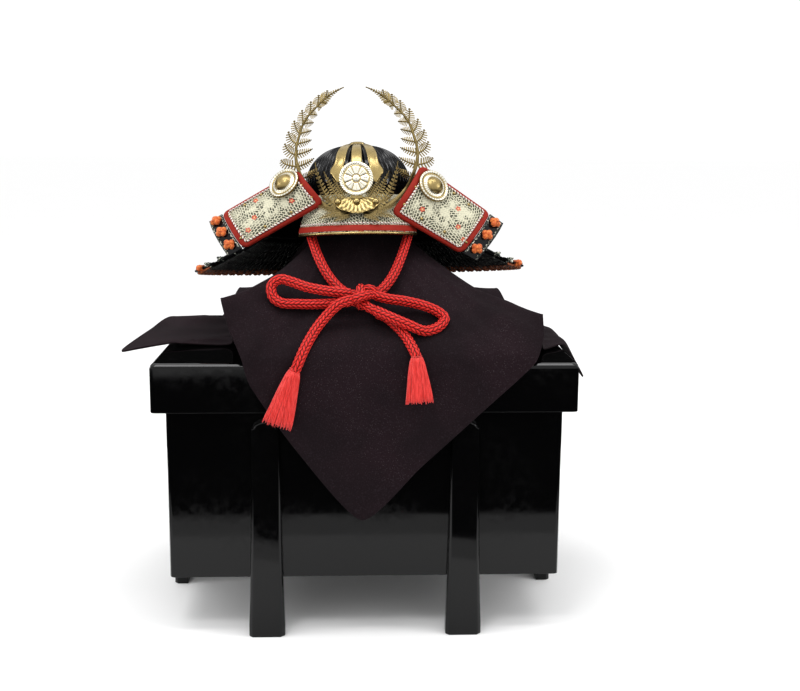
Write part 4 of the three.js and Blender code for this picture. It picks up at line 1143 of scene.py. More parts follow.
class HELMET_OT_cloth(Operator):
    """The draped cloth."""
    bl_idname = "helmet.cloth"
    bl_label = "Cloth"

    def execute(self, context):
        settings = context.scene.helmet_cloth
        points, faces = wall(*cloth_shape(settings), wrap=True)
        piece = make_piece("draped_crepe", (points * MM, faces), crepe_cloth(settings.colour),
                           "dark_cloth", ["draped_cloth"])
        return {"FINISHED"}


BOWL_WIDTH, BOWL_DEPTH, BOWL_HEIGHT, BOWL_WALL = 49.0, 52.0, 47.0, 2.0
CROWN_HOLE = 5.0


def bowl_point(angle, rise, out):
    """Bowl surface: round = cos(rise) to the 0.8; x and y are the half width and half depth times
    round, and z is the height times sin(rise) to the 0.8, all of them larger by `out`."""
    round_ = np.cos(rise) ** 0.8
    return points_of(
        (BOWL_WIDTH + out) * round_ * np.sin(angle),
        -(BOWL_DEPTH + out) * round_ * np.cos(angle),
        (BOWL_HEIGHT + out) * np.sin(rise) ** 0.8)


def bowl_shape(ribs):
    """Bowl: a straight band 8 mm high, then the dome up to the crown's hole. The ribs stand out by
    0.95 exp(-((phase - 0.5) / 0.11)^2) - 0.15 (1 - |2 phase - 1|), fading in above the band."""
    columns = ribs * 10
    angle = turns(columns)
    top = math.acos((CROWN_HOLE / BOWL_WIDTH) ** 1.25)
    rise = np.concatenate([np.zeros(3), np.linspace(0, 1, 46) ** 1.15 * top])[:, None]
    drop = np.concatenate([[-8.0, -5.0, -2.5], np.zeros(46)])[:, None]
    phase = (angle / (2 * math.pi) * ribs) % 1.0
    ridge = np.exp(-((phase - 0.5) / 0.11) ** 2) * 0.95 - 0.15 * (1 - np.abs(2 * phase - 1))
    fade = smooth_step(rise, 0.0, 0.3) * (1 - smooth_step(rise, 1.35, 1.47))
    outer = bowl_point(angle[None], rise, ridge[None] * fade)
    outer[..., 2] += drop
    inner = bowl_point(angle[None], rise, -BOWL_WALL)
    inner[..., 2] += drop
    return wall(outer, inner, wrap=True)


BAND_CENTRE = [(0, 1.3, 3.2), (0, 1.0, 4.0), (0, .7, 4.6), (0, .4, 4.8), (0, .25, 4.8)]
BAND_SIDE = [(.12, 1.28, 2.4), (.21, 1.08, 3.9), (.27, .8, 4.4), (.31, .52, 4.4), (.37, .34, 5.6),
             (.36, .24, 4.2), (.34, .13, .8)]


def band_shape(rows, side):
    """Gilt band: at each rise its middle is x times the bowl's half width, and it spans `half` to each
    side. Its face is rounded by 0.2 mm, with a bead 0.3 mm high along both edges."""
    line = table_curve(rows, np.linspace(0, len(rows) - 1, 60), ease=1.0)
    share = np.linspace(-1, 1, 15)[None]
    middle, rise, half = (line[:, k, None] for k in range(3))
    reach = side * middle * BOWL_WIDTH + half * share
    bead = 0.3 * np.exp(-((np.abs(share) - 0.84) / 0.1) ** 2)

    def layer(out):
        angle = np.arcsin(np.clip(reach / ((BOWL_WIDTH + out) * np.cos(rise) ** 0.8), -0.999, 0.999))
        return bowl_point(angle, np.broadcast_to(rise, angle.shape), out)

    return wall(layer(1.7 + 0.2 * (1 - share ** 2) + bead), layer(0.85 + 0 * share))


VISOR_ANGLE = math.radians(53)


def visor_point(angle, drop, out):
    """Visor surface: half width and half depth grow from the bowl's to the rim's with the drop, bellied
    by 2.2 sin(pi drop); z falls from -1 by 35 mm."""
    belly = 2.2 * np.sin(math.pi * np.clip(drop, 0, 1))
    a = mix(49.3, 64.0, drop) + belly + out
    b = mix(52.3, 80.0, drop) + belly + out
    return points_of(a * np.sin(angle), -b * np.cos(angle), -1 - 35 * drop)


def twisted_shape(path, radius):
    """Thin round thread with lay = (length, turn share, 0) for its stripes."""
    sides = 8
    shape = tubes(path[None], radius, sides, up=(0.13, 0.21, 0.97))
    lay = np.zeros((len(path), sides, 3))
    lay[..., 0] = run_of(path)[:, None]
    lay[..., 1] = np.arange(sides)[None] / sides
    return shape, lay.reshape(-1, 3)


def make_visor(settings):
    """Leather visor, its red band, its gold rim and the twisted line between them."""
    across = np.linspace(-VISOR_ANGLE, VISOR_ANGLE, 120)
    angle, drop = np.meshgrid(across, np.linspace(0, 1, 36), indexing="ij")
    shape = wall(visor_point(angle, drop, 1.6), visor_point(angle, drop, 0.0))
    lay = np.stack([angle * 72, drop * 38, smooth_step(drop, 0.35, 0.6)], axis=-1).reshape(-1, 3)
    helmet_piece("visor_leather", shape, printed_leather(settings.leather), "patterned_leather",
                 ["visor"], sharp=50, lay=np.concatenate([lay, lay]))
    angle, drop = np.meshgrid(across, np.linspace(0.83, 0.98, 9), indexing="ij")
    swell = 0.45 * np.sqrt(np.clip(1 - ((drop - 0.905) / 0.078) ** 2, 0, 1))
    shape = wall(visor_point(angle, drop, 1.95 + swell), visor_point(angle, drop, 1.62))
    helmet_piece("visor_red_band", shape, red_leather(settings.border), "red_leather", ["visor_band"],
                 sharp=50)
    angle = np.linspace(-VISOR_ANGLE, VISOR_ANGLE, 160)
    rim = visor_point(angle, np.full(160, 1 + 1.35 / 35), 0.9)
    shape = tubes(rim[None], 1.3, 14)
    helmet_piece("visor_gold_rim", shape, brass_gold(settings.gold), "gold", ["visor_rim"])
    angle = np.linspace(-VISOR_ANGLE * 0.985, VISOR_ANGLE * 0.985, 260)
    line = visor_point(angle, np.full(260, 0.785), 2.1)
    shape, lay = twisted_shape(line, 0.8)
    helmet_piece("visor_twisted_line", shape, twisted_thread(), "patterned_leather", lay=lay)


TOP_RING = [(3.0, 0), (8.5, -.2), (8.6, .3), (8.5, .8), (7.4, 1.1), (6.7, 1.6), (6.0, 2.3), (5, 2.6),
            (4.2, 2.55), (3.8, 2.3), (3.1, 1.2), (3.0, 0.4)]
TOP_RING_FOOT = 48.6


def top_ring_shape():
    """Ring at the crown: the closed section (radius, height) swept round the z axis."""
    radius, height = np.array(TOP_RING).T[..., None]
    turn = turns(72)
    points = points_of(radius * np.cos(turn), radius * np.sin(turn), height + TOP_RING_FOOT)
    return points.reshape(-1, 3), [grid_faces(len(TOP_RING), 72, 0, True, True)]


class HELMET_OT_bowl(Operator):
    """Ribbed bowl, gilt bands, crown ring and visor."""
    bl_idname = "helmet.bowl"
    bl_label = "Bowl and visor"

    def execute(self, context):
        settings = context.scene.helmet_head
        shape = bowl_shape(settings.ribs)
        helmet_piece("bowl_ribbed", shape, bowl_lacquer(), "bowl_lacquer", ["bowl"], sharp=60)
        gold = brass_gold(settings.gold)
        for name, rows, side in (("centre", BAND_CENTRE, 1), ("left", BAND_SIDE, -1),
                                 ("right", BAND_SIDE, 1)):
            shape = band_shape(rows, side)
            helmet_piece(f"band_{name}_gilt", shape, gold, "gold", [f"band_{name}"], sharp=40)
        helmet_piece("top_ring_gilt", top_ring_shape(), gold, "gold", ["top_ring"], sharp=50)
        make_visor(settings)
        return {"FINISHED"}


LAME_COUNT = 5
LAME_LAP = 0.012
LAME_WALL = 1.2
# How far each lame is stepped outwards.
LAME_LIFTS = (0.0, 0.9, -0.9, 0.0, 0.9)


def guard_point(angle, r, out):
    """Neck guard surface: half width, half depth and fall grow with r, and `out` is square to the
    slope."""
    a = mix(50.5, 152.0, r)
    b = mix(53.5, 122.0, r)
    z = -2 - 66 * (1.45 * r - 0.45 * r * r)
    slope = np.arctan2(66 * (1.45 - 0.9 * r), 103)
    return points_of(
        (a + out * np.sin(slope)) * np.sin(angle),
        -(b + out * np.sin(slope)) * np.cos(angle),
        z + out * np.cos(slope))


def guard_end(r):
    """Angle from the front at which the guard starts, for each r."""
    return np.radians(mix(57.0, 84.0, r))


def guard_angle(share, r):
    """Angle at a share of the sweep from the left end round the back to the right end."""
    end = guard_end(r)
    return end + (2 * math.pi - 2 * end) * share


def lame_shape(k, lift):
    """Lame k of the neck guard: a curved strip from r = k/5, less a lap, to (k+1)/5, 0.35 mm thicker
    along its lower edge."""
    low = k / LAME_COUNT - (LAME_LAP if k else 0)
    high = (k + 1) / LAME_COUNT
    share, r = np.meshgrid(np.linspace(0, 1, 220), np.linspace(low, high, 12), indexing="ij")
    edge = 0.35 * smooth_step(r, high - 0.035, high - 0.012)
    angle = guard_angle(share, r)
    return wall(guard_point(angle, r, lift + LAME_WALL + edge), guard_point(angle, r, lift + 0 * r))


def guard_lacing(rng):
    """Lacing outside: flat silk runs down every lame, side by side, a little uneven in place."""
    paths = []
    for k in range(LAME_COUNT):
        count = 54 + 10 * k
        share = (np.arange(count) + 0.5) / count + rng.normal(0, 0.0006, count)
        r = np.linspace(k / LAME_COUNT + 0.02, (k + 1) / LAME_COUNT - 0.035, 8)
        share, r = np.meshgrid(share, r, indexing="ij")
        out = 2.35 + 0.35 * np.sin(np.linspace(0, math.pi, 8))[None]
        paths.append(guard_point(guard_angle(share, r), r, out))
    return tubes(np.concatenate(paths), 0.8, 6, up=(0.0, 0.0, 1.0), flat=0.6)


def inside_cords():
    """Fine cords inside: slanting arcs, share = start +- 0.03 sin(pi t / 2), r = 0.42 + 0.5 t."""
    start = np.linspace(0.04, 0.96, 74)[:, None]
    t = np.linspace(0, 1, 14)[None]
    lean = 0.030 * np.sin(t * math.pi / 2)
    share = np.concatenate([start + lean, start - lean])
    r = np.broadcast_to(0.42 + 0.5 * t, share.shape)
    return tubes(guard_point(guard_angle(share, r), r, -1.7), 0.6, 5)


def hem_loops(centre, reach, out, count, radius):
    """Row of loops on the hem: two waves half a wave apart, r = centre +- reach cos(count pi share)."""
    share = np.linspace(0.0, 1.0, count * 10)[None]
    wave = np.cos(count * math.pi * share)
    r = np.concatenate([centre + reach * wave, centre - reach * wave])
    share = np.concatenate([share, share])
    lift = out + 0.5 * np.sin(count * 2 * math.pi * share) * np.array([[1.0], [-1.0]])
    return tubes(guard_point(guard_angle(share, r), r, lift), radius, 6)


def end_knots(places, radius, size):
    """Crossed knots on the guard's two front ends, at each r, facing up and forward."""
    paths = []
    for r in places:
        for share, side in ((0.006, -1), (0.994, 1)):
            centre = guard_point(guard_angle(share, r), np.array(r), 1.6)
            paths += knot_paths(centre, (side * 0.25, -0.75, 0.6), size)
    return tubes(np.stack(paths), radius, 8)


class HELMET_OT_guard(Operator):
    """Neck guard of five lames with its lacing."""
    bl_idname = "helmet.guard"
    bl_label = "Neck guard"

    def execute(self, context):
        lacquer = bowl_lacquer()
        for k in range(LAME_COUNT):
            shape = lame_shape(k, LAME_LIFTS[k])
            helmet_piece(f"neck_lame_{k + 1}_lacquered", shape, lacquer, "bowl_lacquer",
                         [f"neck_lame_{k + 1}"], sharp=50)
        rng = np.random.default_rng(7)
        for name, shape, material in (
                ("guard_lacing", guard_lacing(rng), dark_lacing()),
                ("guard_inside_cords", inside_cords(), dark_lacing()),
                ("guard_hem_outside", hem_loops(0.945, 0.035, 3.0, 84, 1.0), brown_lacing()),
                ("guard_hem_inside", hem_loops(0.925, 0.052, -1.0, 84, 1.25), brown_lacing()),
                ("guard_end_cords", end_knots((0.55, 0.66, 0.77, 0.88), 1.2, 3.0), speckled_lacing()),
                ("guard_end_knots", end_knots((0.955,), 2.3, 2.6), orange_lacing())):
            helmet_piece(name, shape, material, "dark_cloth")
        return {"FINISHED"}


WING_CORNERS = {
    "left": ((-53.0, -43.7, 22.1), (-29.0, -58.8, -8.9), (-103.1, -45.2, -47.9), (-124.0, -22.9, -14.1)),
    "right": ((58.1, -43.2, 24.9), (30.4, -63.2, -18.8), (93.0, -45.2, -55.5), (121.0, -20.8, -17.9))}
WING_PLATE = 2.6
WING_BORDER = 4.5
# The border is wider across the wing's two ends and narrower along its long sides.
BORDER_ENDS = 1.25
BORDER_SIDES = 0.72
WING_BELLY = 24.0


def front_normal(a, b):
    """Unit normal of the plane of a and b, on its front side."""
    normal = np.cross(a, b)
    normal /= np.linalg.norm(normal)
    return -normal if normal[1] > 0 else normal


def wing_point(side, u, v, out):
    """Wing surface: bilinear between its corners, u along the fold and v up to the top edge, and moved
    along the plate's normal by belly v (1 - v) + out."""
    top_in, fold_in, fold_out, top_out = (np.array(p) for p in WING_CORNERS[side])
    normal = front_normal(fold_out - fold_in, top_in - fold_in)
    u, v, out = (np.asarray(a, float)[..., None] for a in np.broadcast_arrays(u, v, out))
    flat = fold_in * (1 - u) * (1 - v) + fold_out * u * (1 - v) + top_in * (1 - u) * v + top_out * u * v
    return flat + normal * (WING_BELLY * v * (1 - v) + out)


def wing_size(side):
    """Mean length and width of a wing."""
    top_in, fold_in, fold_out, top_out = (np.array(p) for p in WING_CORNERS[side])
    length = (np.linalg.norm(fold_out - fold_in) + np.linalg.norm(top_out - top_in)) / 2
    width = (np.linalg.norm(top_in - fold_in) + np.linalg.norm(top_out - fold_out)) / 2
    return length, width


def wing_outline(side, inset, corner, count=60):
    """Rounded rectangle inside the wing's edge, as u and v: straight sides joined by quarter circles.
    Its distance from the edge is inset times BORDER_ENDS at the two ends and inset times BORDER_SIDES
    along the sides."""
    length, width = wing_size(side)
    turn = np.linspace(0, math.pi / 2, 10)
    radius = max(corner - inset, 0.8)
    low_x, low_y = inset * BORDER_ENDS + radius, inset * BORDER_SIDES + radius
    middles = ((length - low_x, width - low_y), (low_x, width - low_y), (low_x, low_y),
               (length - low_x, low_y))
    line = []
    for k, (x, y) in enumerate(middles):
        line.append(np.stack([x + radius * np.cos(turn + k * math.pi / 2),
                              y + radius * np.sin(turn + k * math.pi / 2)], axis=1))
    line = np.concatenate(line + [line[0][:1]])
    line = even_steps(line, count=count * 4 + 1)[:-1]
    return line[:, 0] / length, line[:, 1] / width


def border_shape(side):
    """Red border: a rounded bar carried round the wing; its section goes over the front from the outer
    to the inner edge and back along the plate's rear."""
    front = np.linspace(0, math.pi, 11)
    depth = WING_BORDER * (1 - np.cos(front)) / 2
    lift = -0.9 + 1.5 * np.sin(front) ** 0.7
    depth = np.concatenate([depth, [WING_BORDER, WING_BORDER / 2, 0.0]])
    lift = np.concatenate([lift, [-WING_PLATE] * 3])
    rings = []
    for inset, out in zip(depth, lift):
        u, v = wing_outline(side, inset, 6.0)
        rings.append(wing_point(side, u, v, out))
    grid = np.stack(rings)
    return grid.reshape(-1, 3), [grid_faces(len(depth), grid.shape[1], 0, True, True)]


def panel_shape(side):
    """Leather panel inside the border, with a wall, and lay in millimetres; z of lay is 1 near it."""
    length, width = wing_size(side)
    inset = WING_BORDER + 0.1
    end, side_edge = inset * BORDER_ENDS / length, inset * BORDER_SIDES / width
    u, v = np.meshgrid(np.linspace(end, 1 - end, 120), np.linspace(side_edge, 1 - side_edge, 60), indexing="ij")
    shape = wall(wing_point(side, u, v, -0.15), wing_point(side, u, v, -WING_PLATE + 0.3))
    edge = np.minimum(np.minimum(u, 1 - u) * length, np.minimum(v, 1 - v) * width)
    near = 1 - smooth_step(edge, 9.0, 17.0)
    lay = np.stack([u * length, v * width, near], axis=-1).reshape(-1, 3)
    return shape, np.concatenate([lay, lay])


def wing_seat(side, u, v, reach):
    """Seat on a wing: its point, its normal, and how high the wing stands over that plane within
    `reach`."""
    here = wing_point(side, u, v, 0.0)
    normal = front_normal(wing_point(side, u + 0.01, v, 0.0) - here, wing_point(side, u, v + 0.01, 0.0)
                          - here)
    length, width = wing_size(side)
    us, vs = np.meshgrid(np.linspace(0, 1, 60), np.linspace(0, 1, 40))
    near = np.hypot((us - u) * length, (vs - v) * width) < reach
    edge = np.minimum(np.minimum(us, 1 - us) * length / BORDER_ENDS, np.minimum(vs, 1 - vs) * width
                      / BORDER_SIDES)
    lifted = wing_point(side, us, vs, np.where(edge < WING_BORDER, 0.6, 0.0))
    high = ((lifted - here) @ normal)[near].max()
    return here, normal, max(high, 0.0) + 0.2


MEDALLION = [(0, 0), (15, 0), (15, 1.4), (14.6, 2.0), (13.9, 2.3), (13.1, 2.2), (12.4, 1.7), (12, 1.3),
             (11.2, 1.3), (10.6, 1.7), (9.6, 1.9), (8.8, 1.9), (8.3, 2.4), (7.6, 3.7), (6.3, 5.0),
             (4.4, 6.1), (2.2, 6.7), (0, 6.8)]


def dome(centre, normal, radius, height, segments=20):
    """Small domed rivet head: quarter ellipse turned round the normal."""
    turn = np.linspace(0, math.pi / 2, 7)
    profile = [(radius, 0.0)] + list(zip(radius * np.cos(turn), height * np.sin(turn) + 0.2))
    return lathe([(0, 0)] + profile, segments, centre, normal, (0.1, 0.2, 1.0))


def knot_paths(centre, normal, size):
    """A flat crossed knot: two bowed strokes and a short bar over them."""
    normal = np.asarray(normal) / np.linalg.norm(normal)
    across = np.cross(normal, (0.0, 0.0, 1.0))
    across /= np.linalg.norm(across)
    up = np.cross(across, normal)
    t = np.linspace(-1, 1, 9)[:, None]
    lift = normal * (1.9 - 0.9 * t * t)
    first = centre + (across * t + up * t * 0.75) * size + lift
    second = centre + (across * t - up * t * 0.75) * size + lift
    bar = centre + up * t * size * 0.55 + normal * (3.0 - 1.2 * t * t)
    return [first, second, bar]


RIVET_PLACES = ((.93, .8), (.95, .2), (.66, .16), (.34, .15), (.07, .2), (.72, .86), (.5, .88),
                (.07, .55))
KNOT_HEIGHTS = (.2, .52, .84)


def make_wing(side, settings):
    """One wing: border, panel, twisted line, rivets, medallion, and the laced end plate."""
    shape = border_shape(side)
    helmet_piece(f"wing_border_{side}_leather", shape, red_leather(settings.border), "red_leather",
                 [f"wing_border_{side}"], sharp=60)
    shape, lay = panel_shape(side)
    helmet_piece(f"wing_panel_{side}_leather", shape, printed_leather(settings.leather),
                 "patterned_leather", [f"wing_panel_{side}"], sharp=50, lay=lay)
    u, v = wing_outline(side, WING_BORDER + 0.6, 7.0, 90)
    line = wing_point(side, np.append(u, u[0]), np.append(v, v[0]), 0.55)
    shape, lay = twisted_shape(line, 0.85)
    helmet_piece(f"wing_line_{side}", shape, twisted_thread(), "patterned_leather", lay=lay)
    heads = []
    for u, v in RIVET_PLACES:
        here, normal, _ = wing_seat(side, u, v, 3.0)
        heads.append(dome(here - normal * 0.3, normal, 1.5, 1.3))
    shape = together(heads)
    helmet_piece(f"wing_rivets_{side}", shape, brass_gold(settings.gold), "gold", sharp=60)
    u, v = (.21, .8) if side == "left" else (.24, .74)
    here, normal, high = wing_seat(side, u, v, 17.0)
    centre = here + normal * (high + 0.1)
    shape = lathe(MEDALLION, 96, centre, normal, (0.1, 0.2, 1.0))
    radius = np.array(MEDALLION, float)[:, 0]
    pale = ((radius > 12.2) & (radius < 14.8)) | ((radius > 8.0) & (radius < 10.9))
    rope = 0.45 + 0.25 * np.sin(np.arange(96) * 2 * math.pi * 32 / 96 + 0.7)
    relief = np.where(pale[:, None], rope[None] + 0.1, 0.0).ravel()
    helmet_piece(f"medallion_{side}_gilt", shape, medallion_gold(settings.gold), "gold",
                 [f"medallion_{side}"], sharp=50, relief=relief)
    dress_node(f"wing_end_plate_{side}", bowl_lacquer(), 0.0004)
    dress_node(f"wing_return_{side}", bowl_lacquer(), 0.0004)
    length, _ = wing_size(side)
    paths = []
    for v in KNOT_HEIGHTS:
        _, normal, _ = wing_seat(side, 1.0, v, 1.0)
        paths += knot_paths(wing_point(side, 1 + 7.6 / length, v, -0.2), normal, 4.1)
    shape = tubes(np.stack(paths), 2.7, 10)
    helmet_piece(f"wing_knots_{side}", shape, orange_lacing(), "red_cord")
    v = np.linspace(0.04, 0.96, 60)
    wave = 0.9 * np.sin(np.linspace(0, 22 * math.pi, 60))
    paths = [wing_point(side, 1 + (13.6 + 0.5 * wave) / length, v, -0.2 + 0.5 * wave),
             wing_point(side, 1 + (1.6 - 0.5 * wave) / length, v, -0.1 - 0.4 * wave)]
    shape = tubes(np.stack(paths), 0.75, 6)
    helmet_piece(f"wing_edge_lacing_{side}", shape, speckled_lacing(), "dark_cloth")


class HELMET_OT_wings(Operator):
    """Both turned-back wings."""
    bl_idname = "helmet.wings"
    bl_label = "Wings"

    def execute(self, context):
        settings = context.scene.helmet_head
        make_wing("left", settings)
        make_wing("right", settings)
        return {"FINISHED"}


def crest_point(x, z, forward):
    """Crest surface: y curves back with x squared, and below z = 5 it comes forward with the square of
    the fall."""
    low = np.maximum(0, (5 - z) / 25)
    bend = mix(0.017, 0.0095, np.minimum(1, low))
    y = bend * x * x / (1 + (x / 60) ** 2) - 60 - 11.5 * low ** 2 - forward
    return points_of(x, y, z)


def sheet_quads(flat, forward, thick, edge):
    """Quads (n, 4, 2) of x and z laid on the crest surface and given a thickness, `thick` at their
    first side and `edge` at the one across: closed little plates."""
    n = len(flat)
    ahead = np.array([thick, thick, edge, edge])[None]
    back = crest_point(flat[..., 0], flat[..., 1], forward)
    front = crest_point(flat[..., 0], flat[..., 1], forward + ahead)
    points = np.concatenate([back, front], axis=1).reshape(-1, 3)
    box = np.array([[0, 1, 2, 3], [4, 7, 6, 5], [0, 4, 5, 1], [1, 5, 6, 2], [2, 6, 7, 3], [3, 7, 4, 0]])
    return points, [(box[None] + (np.arange(n) * 8)[:, None, None]).reshape(-1, 4)]


def strip_shape(line, half, forward, thick):
    """A raised rib along a line of x and z: its half width is given for each point."""
    way = np.gradient(line, axis=0)
    way /= np.linalg.norm(way, axis=1, keepdims=True) + 1e-9
    across = np.stack([-way[:, 1], way[:, 0]], axis=1)
    share = np.linspace(-1, 1, 5)
    place = line[:, None] + across[:, None] * share[None, :, None] * np.asarray(half)[:, None, None]
    ahead = thick * (0.55 + 0.45 * (1 - share ** 2))[None]
    return wall(crest_point(place[..., 0], place[..., 1], forward + ahead),
                crest_point(place[..., 0], place[..., 1], forward + 0 * ahead))


def leaf_shape(base, bend, tip, half, teeth, forward, thick, lean, taper):
    """Comb leaf: its rib is the quadratic curve base, bend, tip. At each t a tooth stands on both
    sides, leaning towards the tip by `lean` degrees; its length is half times (1 - t to the `taper`),
    and never under a tenth."""
    base, bend, tip = (np.asarray(p, float) for p in (base, bend, tip))
    t = (np.arange(teeth) + 0.5) / teeth

    def curve(s):
        s = s[:, None]
        return (1 - s) ** 2 * base + 2 * s * (1 - s) * bend + s ** 2 * tip

    spine = curve(t)
    way = np.gradient(spine, axis=0)
    gap = np.linalg.norm(way, axis=1, keepdims=True)
    way /= gap
    across = np.stack([-way[:, 1], way[:, 0]], axis=1)
    reach = half * np.maximum(1 - t ** taper, 0.1)[:, None]
    aside, ahead = math.cos(math.radians(lean)), math.sin(math.radians(lean))
    parts = []
    for side in (-1, 1):
        end = spine + (across * side * aside + way * ahead) * reach
        root_low, root_high = spine - way * gap * 0.30, spine + way * gap * 0.30
        end_low, end_high = end - way * gap * 0.25, end + way * gap * 0.25
        parts.append(np.stack([root_low, root_high, end_high, end_low], axis=1))
    comb = sheet_quads(np.concatenate(parts), forward, thick, thick * 0.6)
    line = curve(np.linspace(0, 1, 12))
    rib = strip_shape(line, np.linspace(0.8, 0.4, 12), forward, thick * 1.7)
    return [comb, rib]


# Each row of the tall fern: x and z of a joint on its rib, of the outer leaf's tip and of the inner
# leaf's tip.
TALL_FERN = [
    (-49.5, 14.5, -68.7, 20.5, -36.5, 22.5), (-53.6, 25.8, -68.9, 33.0, -37.8, 32.0),
    (-55.0, 36.5, -65.0, 47.5, -39.0, 40.5), (-53.6, 46.2, -61.4, 58.0, -39.8, 48.5),
    (-50.5, 55.3, -55.8, 67.3, -39.6, 56.7), (-47.2, 63.7, -48.2, 76.0, -37.4, 63.4),
    (-41.5, 71.1, -39.8, 82.6, -34.0, 69.6), (-34.2, 77.4, -32.5, 87.3, -30.0, 75.6),
    (-30.2, 81.0, -24.5, 90.4, -25.4, 78.6)]
TALL_RIB = [(-5.6, -18.7), (-24.0, -13.5), (-38.0, -3.5), (-46.5, 7.5), (-49.5, 14.5), (-53.6, 25.8),
            (-55.0, 36.5), (-53.6, 46.2), (-50.5, 55.3), (-47.2, 63.7), (-41.5, 71.1), (-34.2, 77.4),
            (-30.2, 81.0), (-22, 86.3)]
LOW_FERNS = [((5, -17), (32, -12), (37, 28), 6.0), ((5, -16), (19, -6), (29, 19), 5.6),
             ((5, -15), (11, -4), (21.5, 12.5), 5.0), ((5, -17.5), (22, -19), (38, -9), 4.0),
             ((5, -16.5), (20, -13.5), (33, -1), 4.0),
             ((9, -18), (21, -18), (33, -24), 5.2), ((6, -20), (13, -22), (20, -27), 4.4)]


# How far the leaves stand before the crest surface, and how thick they are.
TALL_PLACE = (0.9, 0.6)
LOW_PLACE = (2.7, 0.7)


def fern_shapes(side):
    """The tall fern and the low ferns of one side: the tall one's table is for the left, the low ones'
    for the right, and x changes its sign for the other side."""
    flip = np.array((1.0 if side == "left" else -1.0, 1.0))
    tall = []
    for x, z, out_x, out_z, in_x, in_z in TALL_FERN:
        joint = np.array((x, z))
        outer, inner = np.array((out_x, out_z)), np.array((in_x, in_z))
        bend = np.array((mix(x, out_x, 0.85), mix(z, out_z, 0.25)))
        tall += leaf_shape(joint * flip, bend * flip, outer * flip, 5.4, 8, *TALL_PLACE, 14, 4)
        bend = np.array((mix(x, in_x, 0.6), mix(z, in_z, 0.25)))
        tall += leaf_shape(joint * flip, bend * flip, inner * flip, 4.4, 8, *TALL_PLACE, 22, 2)
    ends = [np.array(place) * flip for place in ((-32, 79.5), (-22, 87.5), (-9.5, 91.5))]
    tall += leaf_shape(*ends, 5.6, 11, *TALL_PLACE, 34, 1)
    rib = even_steps(curve_through(TALL_RIB, count=90) * flip, count=90)
    tall.append(strip_shape(rib, np.linspace(2.3, 0.7, 90), 0.85, 1.25))
    low = []
    for *line, half in LOW_FERNS:
        base, bend, tip = np.array(line) * flip * (-1, 1)
        low += leaf_shape(base, bend, tip, half * 0.8, 18, *LOW_PLACE, 14, 3)
    return together(tall), together(low)


DISC_RADIUS = 15.0
# The y of the disc's back and the z of its middle.
DISC_BACK, DISC_MIDDLE = -69.2, 10.6


def disc_shape():
    """Disc: a rope-like rim, a hollow, and an eight-petal rosette round a domed heart. Height is a sum
    of bumps in radius and turn: petals are |cos 4 turn| to the 0.5, fading in from radius 3.4 and out
    by radius 11.4."""
    rows, columns = 72, 256
    r = np.linspace(0.02, 1, rows)[:, None] * DISC_RADIUS
    turn = turns(columns)[None]
    twist = 0.72 + 0.28 * np.sin(turn * 40 + r * 2.4)
    rope = 0.9 * np.sqrt(np.clip(1 - ((r - 13.6) / 1.4) ** 2, 0, 1)) * twist
    inner_rope = 0.4 * np.exp(-((r - 11.9) / 0.28) ** 2)
    petal = np.abs(np.cos(4 * turn)) ** 0.5 * smooth_step(r, 3.4, 4.6) * (1 - smooth_step(r, 9.8, 11.4))
    vein = 0.25 * np.exp(-((np.mod(turn * 8 / (2 * math.pi) + 0.5, 1) - 0.5)
                           / 0.05) ** 2) * (r > 4) * (r < 10)
    heart = 1.3 * np.sqrt(np.clip(1 - (r / 3.3) ** 2, 0, 1))
    height = 1.9 + rope + inner_rope + 0.95 * petal - vein + heart
    x, z = r * np.cos(turn), DISC_MIDDLE + r * np.sin(turn)
    front, back = points_of(x, DISC_BACK - height, z), points_of(x, DISC_BACK, z)
    relief = (1.2 * rope + inner_rope * 1.5 + 1.0 * petal - 3.0 * vein + heart).ravel()
    return wall(front, back, wrap=True), np.concatenate([relief, relief])


# How far the bracket's back stands before the crest surface, and its thickness.
BRACKET_BACK, BRACKET_THICK = 5.9, 1.2
BRACKET_ROWS = [(-20, 4), (-16, 15), (-10, 20.5), (-6.5, 19), (-5, 3.4), (6, 3.4)]


def bracket_shape():
    """Bracket: a lobed sheet whose half width follows its rows, with a raised bead along its edge
    and veins that fan out from under the disc."""
    rows = np.asarray(BRACKET_ROWS, float)
    z = np.concatenate([np.linspace(-20, -6.5, 40), np.linspace(-6.2, -5.0, 6), np.linspace(-4.6, 6, 12)])
    half = np.interp(z, rows[:, 0], rows[:, 1])
    half = half + 0.5 * np.abs(np.sin((z + 20) * 0.62)) * (z < -7)
    share = np.linspace(-1, 1, 61)[None]
    x = half[:, None] * share
    bead = 0.45 * np.exp(-((np.abs(share) - 0.93) / 0.035) ** 2) * (z[:, None] < -6)
    fan = np.arctan2(x, z[:, None] + 1.0)
    scroll = 0.24 * np.sin(fan * 26) * np.sin(np.hypot(x, z[:, None] + 1) * 0.55) * (z[:, None] < -6)
    relief = (0.45 + bead + 1.6 * scroll + 0 * x).ravel()
    front = crest_point(x, z[:, None], BRACKET_BACK + BRACKET_THICK + bead + scroll)
    return wall(front, crest_point(x, z[:, None], BRACKET_BACK)), np.concatenate([relief, relief])


def socket_shape():
    """Socket under the disc: a superellipse of power 6 carried up, and pinched at its ends."""
    turn = turns(48)
    section = np.stack([np.sign(np.cos(turn)) * np.abs(np.cos(turn)) ** (1 / 3),
                        np.sign(np.sin(turn)) * np.abs(np.sin(turn)) ** (1 / 3)], axis=1)
    z = np.array((-7.0, -6.6, -6.2, 3.6, 4.0, 4.3))
    size = np.array((0.9, 0.98, 1.0, 1.0, 0.98, 0.9))
    x = section[None, :, 0] * 5.2 * size[:, None]
    y = section[None, :, 1] * 1.5 * size[:, None] - 69.0
    return points_of(x, y, z[:, None]).reshape(-1, 3), ring_faces(6, 48)


